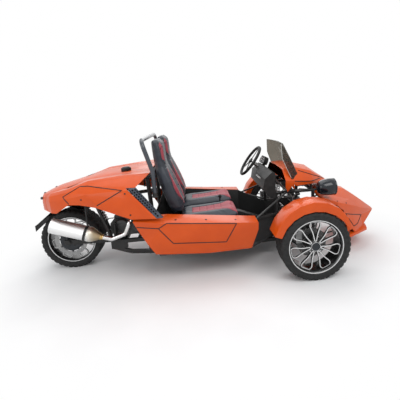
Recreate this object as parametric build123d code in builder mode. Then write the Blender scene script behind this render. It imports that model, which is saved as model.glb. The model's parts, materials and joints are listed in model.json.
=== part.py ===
from build123d import *

import os
from math import acos, atan2, cos, pi, radians, sin

os.makedirs("parts", exist_ok=True)

# Three-wheel open roadster, millimetres. +X forward, +Y to the vehicle's left, +Z up.
# The origin is on the ground, midway between nose tip and tail tip.

# Overall layout
wheelbase = 2240
rear_axle_x = -1420
front_axle_x = rear_axle_x + wheelbase
half_track = 748
body_half_width = 700
shoulder_height = 1000
screen_height = 1120
seat_top_height = 1280


def at_x(share):
    """Place along the car: 0 is the rear axle, 1 the front axle."""
    return rear_axle_x + share * wheelbase


def at_y(share):
    """Place across the car: 1 is the outer face of the sill."""
    return share * body_half_width


def at_z(share):
    """Place above the ground: 1 is the shoulder of the tail."""
    return share * shoulder_height


# Fits
seat_gap = 0.3
shaft_gap = 0.05
running_gap = 6
seam = 4
overrun = 20
rib_depth = 22
rib_width = 14

# Wheels and tyres
tyre_radius = 298
axle_height = tyre_radius
front_tyre_width = 205
rear_tyre_width = 215
shoulder_drop = 14
flange_radius = 233
seat_radius = 219
rim_width = 190
rim_wall = 6
lip_width = 8
hub_radius = 52
hub_bore_radius = 18
cap_radius = 37
cap_height = 6
petal_count = 7
petal_front = 74
petal_depth = 20
spoke_width = 11
petal_root_radius = 42
petal_half_width = 47
petal_shoulder_radius = 186

# Brakes
disc_outer_radius = 130
disc_inner_radius = 88
disc_bell_radius = 70
disc_thickness = 5
disc_offset = 24
rear_disc_outer_radius = 160
rear_disc_inner_radius = 116
caliper_length = 110
caliper_height = 52
caliper_thickness = 54

# Steering and knuckles
kingpin_inset = 80
ball_height = 118
ball_radius = 17
upright_thickness = 26
upright_width = 60
stub_length = 96
steer_arm_reach = 112
steer_arm_thickness = 12
steer_arm_width = 34

# Front suspension
arm_tube_radius = 12.5
arm_spread = 120
lower_arm_rise = 28
upper_arm_rise = 10
bush_radius = 20
bush_length = 46
coil_radius = 38
damper_radius = 17
coil_lower_y = at_y(0.743)
coil_upper_y = at_y(0.5314)

# Frame
rail_size = 34
rail_bottom = 150
frame_tube_radius = 16
hoop_tube_radius = 19
bulkhead_x = at_x(0.9196)
nose_frame_x = at_x(1.0839)
bulkhead_half_width = at_y(0.3743)
rail_y = bulkhead_half_width
upper_frame_height = at_z(0.64)
coil_upper_height = upper_frame_height
pivot_x = at_x(0.2455)
pivot_height = 282
pivot_radius = 17

rail_z = rail_bottom + rail_size / 2
rail_rear_x = at_x(0.366)
hoop_x = at_x(0.384)
hoop_top = at_z(0.919)
hoop_half_width = at_y(0.5643)
rear_rail_end_x = at_x(-0.0045)
rear_rail_y = at_y(0.4071)
rear_rail_end_z = at_z(0.72)
waist_share = 0.8
brace_share = 0.6
shock_mount_share = 0.713
tower_rise = 8
strut_radius = 10
rack_radius = 22
lamp_stalk_x = at_x(1.1183)

# Engine block and its mounts
engine_low = (at_x(0.1875), at_y(-0.3357), at_z(0.33))
engine_high = (at_x(0.3482), at_y(0.1357), at_z(0.66))
engine_mount_x = at_x(0.2143)
engine_mount_z = at_z(0.47)
engine_front_mount_x = at_x(0.3125)

arm_inner_y = bulkhead_half_width + frame_tube_radius + bush_radius + seat_gap
lower_arm_z = axle_height - ball_height + lower_arm_rise
upper_arm_z = axle_height + ball_height + upper_arm_rise

# Tub and sills
tub_wall = 5
tub_floor = rail_bottom + rail_size + seat_gap
tub_half_width = at_y(0.749)
footwell_half_width = at_y(0.323)
panel_wall = 6
sill_inner_y = tub_half_width + seat_gap

# Seats
console_half_width = at_y(0.0629)
console_gap = 3
seat_width = at_y(0.6257)
seat_spacing = seat_width + 2 * (console_half_width + console_gap)

# Exhaust
silencer_y = at_y(-0.4714)
silencer_radius = 71.5
silencer_length = 367
silencer_rear_x = at_x(-0.0308)
silencer_rear_height = at_z(0.537)
silencer_rise = 122
pipe_radius = 21
pipe_lead = 84
pipe_bends = [50, 40, 45]
outlet_radius = 22
outlet_length = 30


def save(builder, name):
    """Labels a finished piece and writes it to its own file."""
    builder.part.label = name
    export_step(builder.part, f"parts/{name}.step")


def along(start, end, share):
    """Point at a share of the way from start to end."""
    return tuple(a + (b - a) * share for a, b in zip(start, end))


def rod(start, end, radius, mode=Mode.ADD):
    """Round bar between two points."""
    axis = Vector(*end) - Vector(*start)
    with BuildSketch(Plane(origin=start, z_dir=axis)) as face:
        Circle(radius)
    extrude(face.sketch, amount=axis.length, mode=mode)


def bar(start, end, width, height, mode=Mode.ADD):
    """Square-section bar whose width lies level, between two points."""
    axis = Vector(*end) - Vector(*start)
    level = Vector(0, 0, 1).cross(axis)
    with BuildSketch(Plane(origin=start, x_dir=level, z_dir=axis)) as face:
        Rectangle(width, height)
    extrude(face.sketch, amount=axis.length, mode=mode)


def side_prism(outline, y_from, y_to, mode=Mode.ADD):
    """Prism of a side-view outline, a list of (x, z), between two places across the car."""
    low, high = min(y_from, y_to), max(y_from, y_to)
    with BuildSketch(Plane.XZ.offset(-high)) as face:
        with BuildLine():
            Polyline(*outline, close=True)
        make_face()
    extrude(face.sketch, amount=high - low, mode=mode)


def plan_prism(outline, z_from, z_to, mode=Mode.ADD):
    """Prism of a plan outline, a list of (x, y), between two heights."""
    with BuildSketch(Plane.XY.offset(z_from)) as face:
        with BuildLine():
            Polyline(*outline, close=True)
        make_face()
    extrude(face.sketch, amount=z_to - z_from, mode=mode)


def box_between(low, high, mode=Mode.ADD):
    """Box between two corners."""
    size = [b - a for a, b in zip(low, high)]
    middle = [(a + b) / 2 for a, b in zip(low, high)]
    with Locations(tuple(middle)):
        Box(*size, mode=mode)


def ring_about_axle(x, y, z, profile, mode=Mode.ADD):
    """Body of revolution about a cross axis; the profile holds (outward offset, radius)."""
    side = 1 if y >= 0 else -1
    with BuildSketch(Plane(origin=(x, y, z), x_dir=(0, side, 0), z_dir=(side, 0, 0))) as face:
        with BuildLine():
            Polyline(*profile, close=True)
        make_face()
    revolve(face.sketch, axis=Axis((x, y, z), (0, 1, 0)), mode=mode)


# Edges that turn by less than this share count as one straight line
parallel_share = 0.001


def inset_outline(outline, gaps):
    """Moves each edge of a closed outline inwards by its own gap and meets them again."""
    count = len(outline)
    area = sum(
        outline[i][0] * outline[(i + 1) % count][1] - outline[(i + 1) % count][0] * outline[i][1]
        for i in range(count)
    )
    turn = 1 if area > 0 else -1
    lines = []
    for i, gap in enumerate(gaps):
        (ax, ay), (bx, by) = outline[i], outline[(i + 1) % count]
        length = ((bx - ax) ** 2 + (by - ay) ** 2) ** 0.5
        ux, uy = (bx - ax) / length, (by - ay) / length
        nx, ny = -uy * turn, ux * turn
        lines.append((ax + nx * gap, ay + ny * gap, ux, uy))
    points = []
    for i in range(count):
        px, py, pu, pv = lines[i - 1]
        qx, qy, qu, qv = lines[i]
        cross = pu * qv - pv * qu
        reach = ((qx - px) * qv - (qy - py) * qu) / cross if abs(cross) > parallel_share else 0
        points.append((px + pu * reach, py + pv * reach) if reach else (qx, qy))
    return points


def facet_body(sections, mode=Mode.ADD):
    """Body of flat facets through closed sections, lists of as many points in space.

    Where four corners are not flat, the crease joins the pair that stands further out.
    """
    faces = [Face(Wire.make_polygon(section)) for section in (sections[0], sections[-1])]
    for low, high in zip(sections, sections[1:]):
        middle = sum((Vector(*point) for point in low + high), Vector()) / (2 * len(low))
        for i in range(len(low)):
            j = (i + 1) % len(low)
            a, b, c, d = (Vector(*point) for point in (low[i], low[j], high[j], high[i]))
            outward = (c - a).cross(d - b)
            if outward.dot(a + b + c + d - middle * 4) < 0:
                outward = -outward
            if (a + c - b - d).dot(outward) < 0:
                a, b, c, d = b, c, d, a
            faces.append(Face(Wire.make_polygon([a, b, c])))
            faces.append(Face(Wire.make_polygon([a, c, d])))
    body = Solid(Shell(faces))
    add(body if body.volume > 0 else -body, mode=mode)


def body_loft(stations, mode=Mode.ADD):
    """Faceted body through cross sections: a list of (x, outline of (y, z))."""
    facet_body([[(x, y, z) for y, z in outline] for x, outline in stations], mode)


def core_of(stations, gaps, side_view=None, side_gaps=None):
    """Hollow space of a panel: its sections and its side view, each edge moved in by a gap."""
    with BuildPart() as core:
        body_loft([(x, inset_outline(outline, gaps)) for x, outline in stations])
        if side_view:
            side_prism(inset_outline(side_view, side_gaps), -half_track, half_track,
                       mode=Mode.INTERSECT)
    return core.part


def rib(stations, gaps, side_view, place, bottom=0):
    """Thin frame rib seated against the inside of a shell, at a place along the car."""
    outer_gaps = [gap + seat_gap if gap > 0 else gap for gap in gaps]
    inner_gaps = [gap + rib_depth if gap > 0 else gap for gap in gaps]
    pair = [both for both in zip(stations, stations[1:]) if both[0][0] <= place < both[1][0]][0]
    with BuildPart() as hoop:
        body_loft([(x, inset_outline(outline, outer_gaps)) for x, outline in stations])
        body_loft([(x, inset_outline(outline, inner_gaps)) for x, outline in pair], mode=Mode.SUBTRACT)
        side_prism(side_view, -half_track, half_track, mode=Mode.INTERSECT)
        box_between((place, -half_track, bottom), (place + rib_width, half_track, seat_top_height),
                    mode=Mode.INTERSECT)
    return hoop.part


def stretch(stations, front, back):
    """Moves the first and last stations along the car, to open or close a shell's ends."""
    (first, a), (last, b) = stations[0], stations[-1]
    return [(first + front, a)] + stations[1:-1] + [(last + back, b)]


def both_sides(half):
    """Closed outline from a half outline that runs from top centre to bottom centre."""
    return half + [(-y, z) for y, z in reversed(half) if y != 0]


# Tyres
def tyre_profile(width):
    """Tyre section as (outward offset, radius): tread, shoulders, sidewalls and beads."""
    half = width / 2
    tread = half - shoulder_drop
    bead = rim_width / 2 - seat_gap
    bulge = tyre_radius - shoulder_drop * 1.6
    return [
        (-tread, tyre_radius),
        (tread, tyre_radius),
        (half, bulge),
        (bead, flange_radius + seat_gap),
        (-bead, flange_radius + seat_gap),
        (-half, bulge),
    ]


# Rims: barrel, hub and seven petal loops
def rim_profile():
    """Rim barrel: flange lips outside, and a barrel that tapers in from both lips."""
    half = rim_width / 2
    return [
        (-half, flange_radius),
        (half, flange_radius),
        (half, flange_radius - lip_width),
        (half - 2 * lip_width, seat_radius - rim_wall),
        (2 * lip_width - half, seat_radius - rim_wall),
        (-half, flange_radius - lip_width),
    ]


def petal_outline(inset):
    """One petal loop pointing up: narrow at the hub, wide and blunt at the rim."""
    reach = seat_radius - rim_wall / 2
    outline = [
        (-spoke_width, petal_root_radius),
        (spoke_width, petal_root_radius),
        (petal_half_width * 0.5, (petal_root_radius + petal_shoulder_radius) / 2),
        (petal_half_width, petal_shoulder_radius),
        (petal_half_width * 0.8, reach),
        (-petal_half_width * 0.8, reach),
        (-petal_half_width, petal_shoulder_radius),
        (-petal_half_width * 0.5, (petal_root_radius + petal_shoulder_radius) / 2),
    ]
    return inset_outline(outline, [inset] * len(outline)) if inset else outline


def petals(face):
    """Adds the seven petal loops, each outlined by two spokes that part towards the rim."""
    for turn in range(petal_count):
        angle = turn * 2 * pi / petal_count
        with BuildSketch(face) as loop:
            for inset, step in ((0, Mode.ADD), (spoke_width, Mode.SUBTRACT)):
                with BuildLine():
                    Polyline(
                        *[
                            (u * cos(angle) - v * sin(angle), u * sin(angle) + v * cos(angle))
                            for u, v in petal_outline(inset)
                        ],
                        close=True,
                    )
                make_face(mode=step)
        extrude(loop.sketch, amount=petal_depth)


def rim_body(x, y, z, hub_back):
    """Adds one complete wheel; the face looks away from the car's middle."""
    side = 1 if y >= 0 else -1
    ring_about_axle(x, y, z, rim_profile())
    hub = [
        (petal_front, 0),
        (petal_front, hub_radius),
        (hub_back, hub_radius),
        (hub_back, hub_bore_radius + shaft_gap),
        (petal_front - petal_depth, hub_bore_radius + shaft_gap),
        (petal_front - petal_depth, 0),
    ]
    ring_about_axle(x, y, z, hub)
    cap = [(petal_front, 0), (petal_front, cap_radius), (petal_front + cap_height, cap_radius),
           (petal_front + cap_height, 0)]
    ring_about_axle(x, y, z, cap)
    petals(Plane(
        origin=(x, y + side * (petal_front - petal_depth), z),
        x_dir=(-side, 0, 0),
        z_dir=(0, side, 0),
    ))


hub_back = -8
front_wheels = [("front_right", -half_track), ("front_left", half_track)]
for name, y in front_wheels:
    with BuildPart() as tyre:
        ring_about_axle(front_axle_x, y, axle_height, tyre_profile(front_tyre_width))
    save(tyre, f"tyre_{name}")
    with BuildPart() as wheel:
        rim_body(front_axle_x, y, axle_height, hub_back)
    save(wheel, f"wheel_{name}")
    with BuildPart() as disc:
        ring_about_axle(front_axle_x, y, axle_height, [
            (hub_back, hub_bore_radius + seam),
            (hub_back, disc_bell_radius),
            (-disc_offset, disc_bell_radius + seam),
            (-disc_offset, disc_outer_radius),
            (-disc_offset - disc_thickness, disc_outer_radius),
            (-disc_offset - disc_thickness, disc_bell_radius),
            (hub_back - disc_thickness, disc_bell_radius - disc_thickness),
            (hub_back - disc_thickness, hub_bore_radius + seam),
        ])
    save(disc, f"disc_{name}")

with BuildPart() as tyre_rear:
    ring_about_axle(rear_axle_x, 0, axle_height, tyre_profile(rear_tyre_width))
save(tyre_rear, "tyre_rear")

# Rear wheel: its petal face looks right, the chain sprocket is on its left
rear_hub_half = 112
rear_face = 62
sprocket_y = 122
sprocket_radius = 104
sprocket_thickness = 7
rear_disc_y = -104
carrier_arms = 6
carrier_arm_height = 22
with BuildPart() as wheel_rear:
    ring_about_axle(rear_axle_x, 0, axle_height, rim_profile())
    ring_about_axle(rear_axle_x, 0, axle_height, [
        (-rear_hub_half + running_gap, hub_bore_radius + shaft_gap),
        (-rear_hub_half + running_gap, hub_radius),
        (rear_hub_half, hub_radius),
        (rear_hub_half, hub_bore_radius + shaft_gap),
    ])
    petals(Plane(
        origin=(rear_axle_x, -rear_face + petal_depth, axle_height),
        x_dir=(1, 0, 0),
        z_dir=(0, -1, 0),
    ))
save(wheel_rear, "wheel_rear")

with BuildPart() as rear_sprocket:
    ring_about_axle(rear_axle_x, 0, axle_height, [
        (rear_hub_half, hub_bore_radius + shaft_gap),
        (rear_hub_half, hub_radius),
        (sprocket_y - sprocket_thickness / 2, sprocket_radius),
        (sprocket_y + sprocket_thickness / 2, sprocket_radius),
        (sprocket_y + sprocket_thickness / 2, hub_bore_radius + shaft_gap),
    ])
save(rear_sprocket, "rear_sprocket")

with BuildPart() as disc_rear:
    ring_about_axle(rear_axle_x, rear_disc_y, axle_height, [
        (0, rear_disc_inner_radius),
        (0, rear_disc_outer_radius),
        (disc_thickness, rear_disc_outer_radius),
        (disc_thickness, rear_disc_inner_radius),
    ])
    for turn in range(carrier_arms):
        angle = 2 * pi * turn / carrier_arms
        ends = [
            (rear_axle_x + reach * cos(angle), rear_disc_y - disc_thickness / 2,
             axle_height + reach * sin(angle))
            for reach in (hub_radius + seat_gap, rear_disc_inner_radius + seam)
        ]
        bar(*ends, disc_thickness, carrier_arm_height)
save(disc_rear, "disc_rear")

# Knuckles: upright, stub axle, steering arm and caliper; the fender stays sit on them
kingpin_y = half_track - kingpin_inset
caliper_gap = 5
caliper_rim = 14
caliper_reach = disc_outer_radius - caliper_height / 2 + caliper_rim
arm_tip_x = front_axle_x + steer_arm_reach
ball_top_gap = 0.5
stay_radius = 8
stay_y = 631.5
stay_foot_rise = 42
stay_knee_reach = 75
stay_knee_rise = 102
stay_top_reach = 120
stay_top_rise = 330
fender_crown = 388
fender_lip = 308
fender_half_width = 101
fender_wall = 5
fender_rear_angle = 20
fender_front_angle = 24
fender_points = 9


def fender_edge(radius, share):
    """Point of the fender's side-view outline; share 0 is its rear tip, 1 its front tip."""
    angle = radians(180 - fender_rear_angle + share * (fender_rear_angle + fender_front_angle - 180))
    return (front_axle_x + radius * cos(angle), axle_height + radius * sin(angle))


def crown_radius(share):
    """Outer radius of the fender: fullest at the top, drawn in towards the front tip."""
    return fender_crown - (fender_crown - fender_lip) * (0.25 + 0.5 * share) * abs(2 * share - 1) ** 2


for name, y in front_wheels:
    side = 1 if y > 0 else -1
    pin_y = side * kingpin_y
    with BuildPart() as knuckle:
        inner = pin_y - side * upright_thickness / 2
        outer = pin_y + side * upright_thickness / 2
        side_prism(
            [
                (front_axle_x - upright_width / 2, axle_height - ball_height + ball_radius + ball_top_gap),
                (front_axle_x + upright_width / 2, axle_height - ball_height + ball_radius + ball_top_gap),
                (front_axle_x + upright_width * 0.7, axle_height),
                (front_axle_x + upright_width / 2, axle_height + ball_height - ball_radius - ball_top_gap),
                (front_axle_x - upright_width / 2, axle_height + ball_height - ball_radius - ball_top_gap),
                (front_axle_x - upright_width * 0.7, axle_height),
            ],
            inner,
            outer,
        )
        rod((front_axle_x, outer - side * seam, axle_height),
            (front_axle_x, outer + side * stub_length, axle_height), hub_bore_radius)
        plan_prism(
            [
                (front_axle_x + upright_width / 4, pin_y - side * upright_thickness / 2),
                (front_axle_x + upright_width / 4, pin_y + side * upright_thickness / 2),
                (arm_tip_x + steer_arm_width / 2, pin_y + side * steer_arm_width / 2),
                (arm_tip_x + steer_arm_width / 2, pin_y - side * steer_arm_width / 2),
            ],
            axle_height - steer_arm_thickness,
            axle_height,
        )
        disc_y = y - side * (disc_offset + disc_thickness / 2)
        caliper_x = front_axle_x - caliper_reach
        box_between(
            (caliper_x - caliper_height / 2, disc_y - caliper_thickness / 2,
             axle_height + steer_arm_thickness),
            (caliper_x + caliper_height / 2, disc_y + caliper_thickness / 2,
             axle_height + steer_arm_thickness + caliper_length),
        )
        slot = disc_thickness / 2 + caliper_gap
        rod((front_axle_x, disc_y - slot, axle_height), (front_axle_x, disc_y + slot, axle_height),
            disc_outer_radius + caliper_gap, mode=Mode.SUBTRACT)
        near, far = sorted((inner, disc_y - side * (slot + seam)))
        box_between((caliper_x, near, axle_height + steer_arm_width),
                    (front_axle_x, far, axle_height + caliper_length / 2 + steer_arm_width))
        for end in (-1, 1):
            foot = (front_axle_x + end * upright_width / 2, pin_y, axle_height + stay_foot_rise)
            knee = (front_axle_x + end * stay_knee_reach, side * stay_y, axle_height + stay_knee_rise)
            top = (front_axle_x + end * stay_top_reach, side * stay_y, axle_height + stay_top_rise)
            rod(foot, knee, stay_radius)
            rod(knee, top, stay_radius)
            with Locations(knee):
                Sphere(stay_radius)
            rod(top, (top[0], y - side * (fender_half_width + seat_gap), top[2]), stay_radius * 1.4)
        rod((front_axle_x, outer - side * seam, axle_height),
            (front_axle_x, outer + side * stub_length, axle_height), hub_bore_radius)
    save(knuckle, f"knuckle_{name}")
    with BuildPart() as fender:
        shares = [i / (fender_points - 1) for i in range(fender_points)]
        crown = [fender_edge(crown_radius(s), s) for s in shares]
        lip = [fender_edge(fender_lip, s) for s in reversed(shares)]
        side_prism(crown + lip, y - side * fender_half_width, y + side * fender_half_width)
        under = [fender_edge(crown_radius(s) - fender_wall, s) for s in shares]
        floor = [fender_edge(fender_lip - overrun, s) for s in reversed(shares)]
        side_prism(under + floor, y - side * (fender_half_width - fender_wall),
                   y + side * (fender_half_width - fender_wall), mode=Mode.SUBTRACT)
    save(fender, f"fender_{name}")

# Front suspension: two wishbones a side, with bushes on the frame rails
with BuildPart() as front_arms:
    for side in (-1, 1):
        for ball_z, pivot_z, spread in (
            (axle_height - ball_height, lower_arm_z, arm_spread),
            (axle_height + ball_height, upper_arm_z, arm_spread * 0.75),
        ):
            ball = (front_axle_x, side * kingpin_y, ball_z)
            inner = [(front_axle_x + end * spread, side * arm_inner_y, pivot_z) for end in (-1, 1)]
            for pivot in inner:
                rod(pivot, ball, arm_tube_radius)
                rod((pivot[0] - bush_length / 2, pivot[1], pivot[2]),
                    (pivot[0] + bush_length / 2, pivot[1], pivot[2]), bush_radius)
            rod((ball[0], ball[1], ball_z - ball_radius), (ball[0], ball[1], ball_z + ball_radius),
                ball_radius)
            if ball_z < axle_height:
                share = (coil_lower_y - arm_inner_y) / (kingpin_y - arm_inner_y)
                rod(along(inner[0], ball, share), along(inner[1], ball, share), arm_tube_radius)
save(front_arms, "front_arms")

# Coil-over units from the lower arms up to the frame towers
coil_share = (coil_lower_y - arm_inner_y) / (kingpin_y - arm_inner_y)
coil_seat_z = lower_arm_z - lower_arm_rise * coil_share + arm_tube_radius
eye_radius = 14
eye_length = 36
coil_start_share = 0.3
coil_end_share = 0.9
with BuildPart() as front_coilovers:
    for side in (-1, 1):
        low = (front_axle_x, side * coil_lower_y, coil_seat_z + eye_radius + seat_gap)
        high = (front_axle_x, side * coil_upper_y, coil_upper_height)
        rod(low, high, damper_radius)
        rod(along(low, high, coil_start_share), along(low, high, coil_end_share), coil_radius)
        for end in (low, high):
            rod((end[0] - eye_length / 2, end[1], end[2]), (end[0] + eye_length / 2, end[1], end[2]),
                eye_radius)
save(front_coilovers, "front_coilovers")

# Rack bar with its tie-rod ends, one straight bar across the car
tie_rod_radius = 7
tie_eye_radius = 15
tie_z = axle_height + seat_gap + tie_eye_radius / 2
with BuildPart() as tie_rods:
    rod((arm_tip_x, -kingpin_y, tie_z), (arm_tip_x, kingpin_y, tie_z), tie_rod_radius)
    for side in (-1, 1):
        rod((arm_tip_x, side * kingpin_y, axle_height + seat_gap),
            (arm_tip_x, side * kingpin_y, axle_height + seat_gap + tie_eye_radius), tie_eye_radius)
save(tie_rods, "tie_rods")

# Floor tub: one open-topped tray from the seat bulkhead to the pedals
tub_shares = [
    (0.402, 0.63, 0.749, 0.262, 0.600),
    (0.796, 0.63, 0.749, 0.262, 0.515),
    (0.915, 0.29, 0.323, 0.262, 0.430),
    (1.036, 0.29, 0.323, 0.262, 0.430),
]
tub_stations = []
for along_share, floor_share, side_share, bend_share, top_share in tub_shares:
    half = [
        (0, at_z(top_share)),
        (at_y(side_share), at_z(top_share)),
        (at_y(side_share), at_z(bend_share)),
        (at_y(floor_share), tub_floor),
        (0, tub_floor),
    ]
    tub_stations.append((at_x(along_share), both_sides(half)))
tub_gaps = [-overrun] + [tub_wall] * 6 + [-overrun]
with BuildPart() as floor_tub:
    body_loft(tub_stations)
    body_loft([(x, inset_outline(outline, tub_gaps))
               for x, outline in stretch(tub_stations, tub_wall, -tub_wall)], mode=Mode.SUBTRACT)
save(floor_tub, "floor_tub")

# Sills: faceted side pods, open towards the tub
# Columns: along, inner top height, crease width, crease height, foot width, foot height
sill_shares = [
    (0.325, 0.614, 0.900, 0.594, 0.86, 0.27),
    (0.452, 0.605, 1.000, 0.578, 0.89, 0.27),
    (0.800, 0.516, 1.000, 0.512, 0.89, 0.25),
]
sill_side = [
    (at_x(0.327), at_z(0.64)),
    (at_x(0.327), at_z(0.592)),
    (at_x(0.342), at_z(0.520)),
    (at_x(0.400), at_z(0.281)),
    (at_x(0.608), at_z(0.246)),
    (at_x(0.774), at_z(0.257)),
    (at_x(0.804), at_z(0.470)),
    (at_x(0.796), at_z(0.64)),
]
for name, side in (("right", -1), ("left", 1)):
    sill_stations = []
    for place, top, crease, crease_z, foot, foot_z in sill_shares:
        outline = [
            (side * sill_inner_y, at_z(top)),
            (side * at_y(crease), at_z(crease_z)),
            (side * at_y(foot), at_z(foot_z) - overrun),
            (side * sill_inner_y, at_z(foot_z) - overrun),
        ]
        sill_stations.append((at_x(place), outline))
    sill_core = core_of(
        sill_stations,
        [panel_wall, panel_wall, panel_wall, -overrun],
        sill_side,
        [panel_wall] * (len(sill_side) - 1) + [-overrun],
    )
    with BuildPart() as sill:
        body_loft(sill_stations)
        side_prism(sill_side, -half_track, half_track, mode=Mode.INTERSECT)
        add(sill_core, mode=Mode.SUBTRACT)
    save(sill, f"sill_{name}")

# Tail body: one faceted form behind the seats, split into a deck and two flanks
# Columns: along, deck height, ridge width and height, shoulder, flank, skirt
tail_shares = [
    (-0.069, 0.815, 0.257, 0.812, 0.307, 0.790, 0.329, 0.740, 0.314, 0.600),
    (-0.013, 0.860, 0.457, 0.835, 0.514, 0.815, 0.536, 0.770, 0.514, 0.600),
    (0.0625, 0.888, 0.557, 0.872, 0.614, 0.850, 0.650, 0.800, 0.640, 0.620),
    (0.152, 0.930, 0.586, 0.937, 0.650, 0.912, 0.743, 0.840, 0.730, 0.640),
    (0.277, 0.950, 0.593, 0.962, 0.671, 0.945, 0.836, 0.860, 0.886, 0.560),
    (0.460, 0.940, 0.586, 0.985, 0.714, 0.985, 0.886, 0.865, 1.000, 0.520),
]
tail_side = [
    (at_x(-0.075), at_z(0.665)),
    (at_x(0.010), at_z(0.660)),
    (at_x(0.072), at_z(0.746)),
    (at_x(0.118), at_z(0.745)),
    (at_x(0.192), at_z(0.720)),
    (at_x(0.326), at_z(0.616)),
    (at_x(0.420), at_z(0.616)),
    (at_x(0.312), at_z(0.878)),
    (at_x(0.347), at_z(0.878)),
    (at_x(0.400), at_z(0.975)),
    (at_x(0.400), at_z(1.05)),
    (at_x(-0.075), at_z(1.05)),
]
vent_shift = 1.5 * seat_gap
vent_side = [
    (at_x(0.312) + vent_shift, at_z(0.878) - vent_shift),
    (at_x(0.420) + vent_shift, at_z(0.616)),
    (at_x(0.445), at_z(0.620)),
    (at_x(0.347), at_z(0.878) - vent_shift),
]
tail_stations = []
for place, deck, ridge, ridge_z, shoulder, shoulder_z, flank, flank_z, skirt, skirt_z in tail_shares:
    half = [
        (0, at_z(deck)),
        (at_y(ridge), at_z(ridge_z)),
        (at_y(shoulder), at_z(shoulder_z)),
        (at_y(flank), at_z(flank_z)),
        (at_y(skirt), at_z(skirt_z)),
        (0, at_z(skirt_z)),
    ]
    tail_stations.append((at_x(place), both_sides(half)))
tail_gaps = [panel_wall] * 4 + [-overrun] * 2 + [panel_wall] * 4
tail_inside = stretch(tail_stations, panel_wall, overrun)
tail_core = core_of(tail_inside, tail_gaps)
deck_half_width = 296

with BuildPart() as engine_deck:
    body_loft(tail_stations)
    side_prism(tail_side, -half_track, half_track, mode=Mode.INTERSECT)
    add(tail_core, mode=Mode.SUBTRACT)
    box_between((at_x(-0.2), -deck_half_width, at_z(0.5)), (at_x(0.5), deck_half_width, at_z(1.1)),
                mode=Mode.INTERSECT)
save(engine_deck, "engine_deck")

for name, side in (("right", -1), ("left", 1)):
    with BuildPart() as tail_side_panel:
        body_loft(tail_stations)
        side_prism(tail_side, -half_track, half_track, mode=Mode.INTERSECT)
        add(tail_core, mode=Mode.SUBTRACT)
        near, far = sorted((side * (deck_half_width + seam), side * half_track))
        box_between((at_x(-0.2), near, at_z(0.5)), (at_x(0.5), far, at_z(1.1)), mode=Mode.INTERSECT)
    save(tail_side_panel, f"tail_flank_{name}")

vent_depth = 22
vent_gaps = [gap + vent_depth if gap > 0 else gap for gap in tail_gaps]
vent_core = core_of(tail_inside, vent_gaps)
with BuildPart() as side_vents:
    body_loft(tail_stations)
    side_prism(vent_side, -half_track, half_track, mode=Mode.INTERSECT)
    add(vent_core, mode=Mode.SUBTRACT)
save(side_vents, "side_vents")

# Nose: wedge with side ledges and a low lip
# Columns: along, top height, crown, inner ledge, outer ledge, waist, foot (width and height each)
nose_shares = [
    (1.098, 0.615, 0.100, 0.610, 0.300, 0.600, 0.600, 0.598, 0.600, 0.480, 0.560, 0.190),
    (1.170, 0.640, 0.120, 0.635, 0.386, 0.565, 0.578, 0.530, 0.570, 0.440, 0.543, 0.190),
    (1.264, 0.581, 0.120, 0.570, 0.286, 0.490, 0.386, 0.445, 0.386, 0.360, 0.486, 0.190),
    (1.330, 0.473, 0.100, 0.465, 0.186, 0.410, 0.250, 0.378, 0.221, 0.296, 0.271, 0.190),
    (1.413, 0.325, 0.040, 0.320, 0.050, 0.315, 0.057, 0.310, 0.050, 0.298, 0.043, 0.290),
]
nose_side = [
    (at_x(1.096), at_z(0.72)),
    (at_x(1.096), at_z(0.570)),
    (at_x(1.166), at_z(0.500)),
    (at_x(1.208), at_z(0.424)),
    (at_x(1.224), at_z(0.185)),
    (at_x(1.430), at_z(0.185)),
    (at_x(1.430), at_z(0.72)),
]
nose_stations = []
for place, top, *pairs in nose_shares:
    half = [(0, at_z(top))]
    half += [(at_y(width), at_z(height)) for width, height in zip(pairs[::2], pairs[1::2])]
    half.append((0, half[-1][1]))
    nose_stations.append((at_x(place), both_sides(half)))
nose_gaps = [panel_wall] * 5 + [-overrun] * 2 + [panel_wall] * 5
lip_plan_shares = [
    (1.214, 0.571), (1.228, 0.579), (1.334, 0.371), (1.352, 0.214), (1.357, 0),
]
lip_base = 168
lip_top = 192
tip_inset = 60
nose_inside = stretch(nose_stations, -overrun, -tip_inset)
nose_core = core_of(nose_inside, nose_gaps)
with BuildPart() as nose:
    body_loft(nose_stations)
    side_prism(nose_side, -half_track, half_track, mode=Mode.INTERSECT)
    add(nose_core, mode=Mode.SUBTRACT)
    plan = [(at_x(u), at_y(v)) for u, v in lip_plan_shares]
    plan_prism(plan + [(x, -y) for x, y in reversed(plan) if y], lip_base, lip_top)
save(nose, "nose")

# Hood: faceted cowl from the dash to between the lamps
# Columns: along, ridge height, strip edge, crease and lower edge (width and height each)
hood_shares = [
    (0.950, 0.880, 0.371, 0.870, 0.543, 0.780, 0.529, 0.700),
    (1.000, 0.900, 0.343, 0.882, 0.514, 0.770, 0.500, 0.690),
    (1.085, 0.852, 0.286, 0.820, 0.400, 0.735, 0.386, 0.700),
    (1.170, 0.712, 0.114, 0.705, 0.171, 0.692, 0.157, 0.672),
]
hood_side = [
    (at_x(0.948), at_z(0.95)),
    (at_x(0.948), at_z(0.720)),
    (at_x(0.958), at_z(0.665)),
    (at_x(0.985), at_z(0.730)),
    (at_x(1.000), at_z(0.715)),
    (at_x(1.085), at_z(0.705)),
    (at_x(1.180), at_z(0.665)),
    (at_x(1.180), at_z(0.95)),
]
hood_stations = []
for place, top, *pairs in hood_shares:
    half = [(0, at_z(top))]
    half += [(at_y(width), at_z(height)) for width, height in zip(pairs[::2], pairs[1::2])]
    half[-1] = (half[-1][0], half[-1][1] - overrun * 2)
    half.append((0, half[-1][1]))
    hood_stations.append((at_x(place), both_sides(half)))
hood_gaps = [panel_wall] * 3 + [-overrun] * 2 + [panel_wall] * 3
hood_inside = stretch(hood_stations, -overrun, -panel_wall)
hood_core = core_of(hood_inside, hood_gaps)
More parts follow.
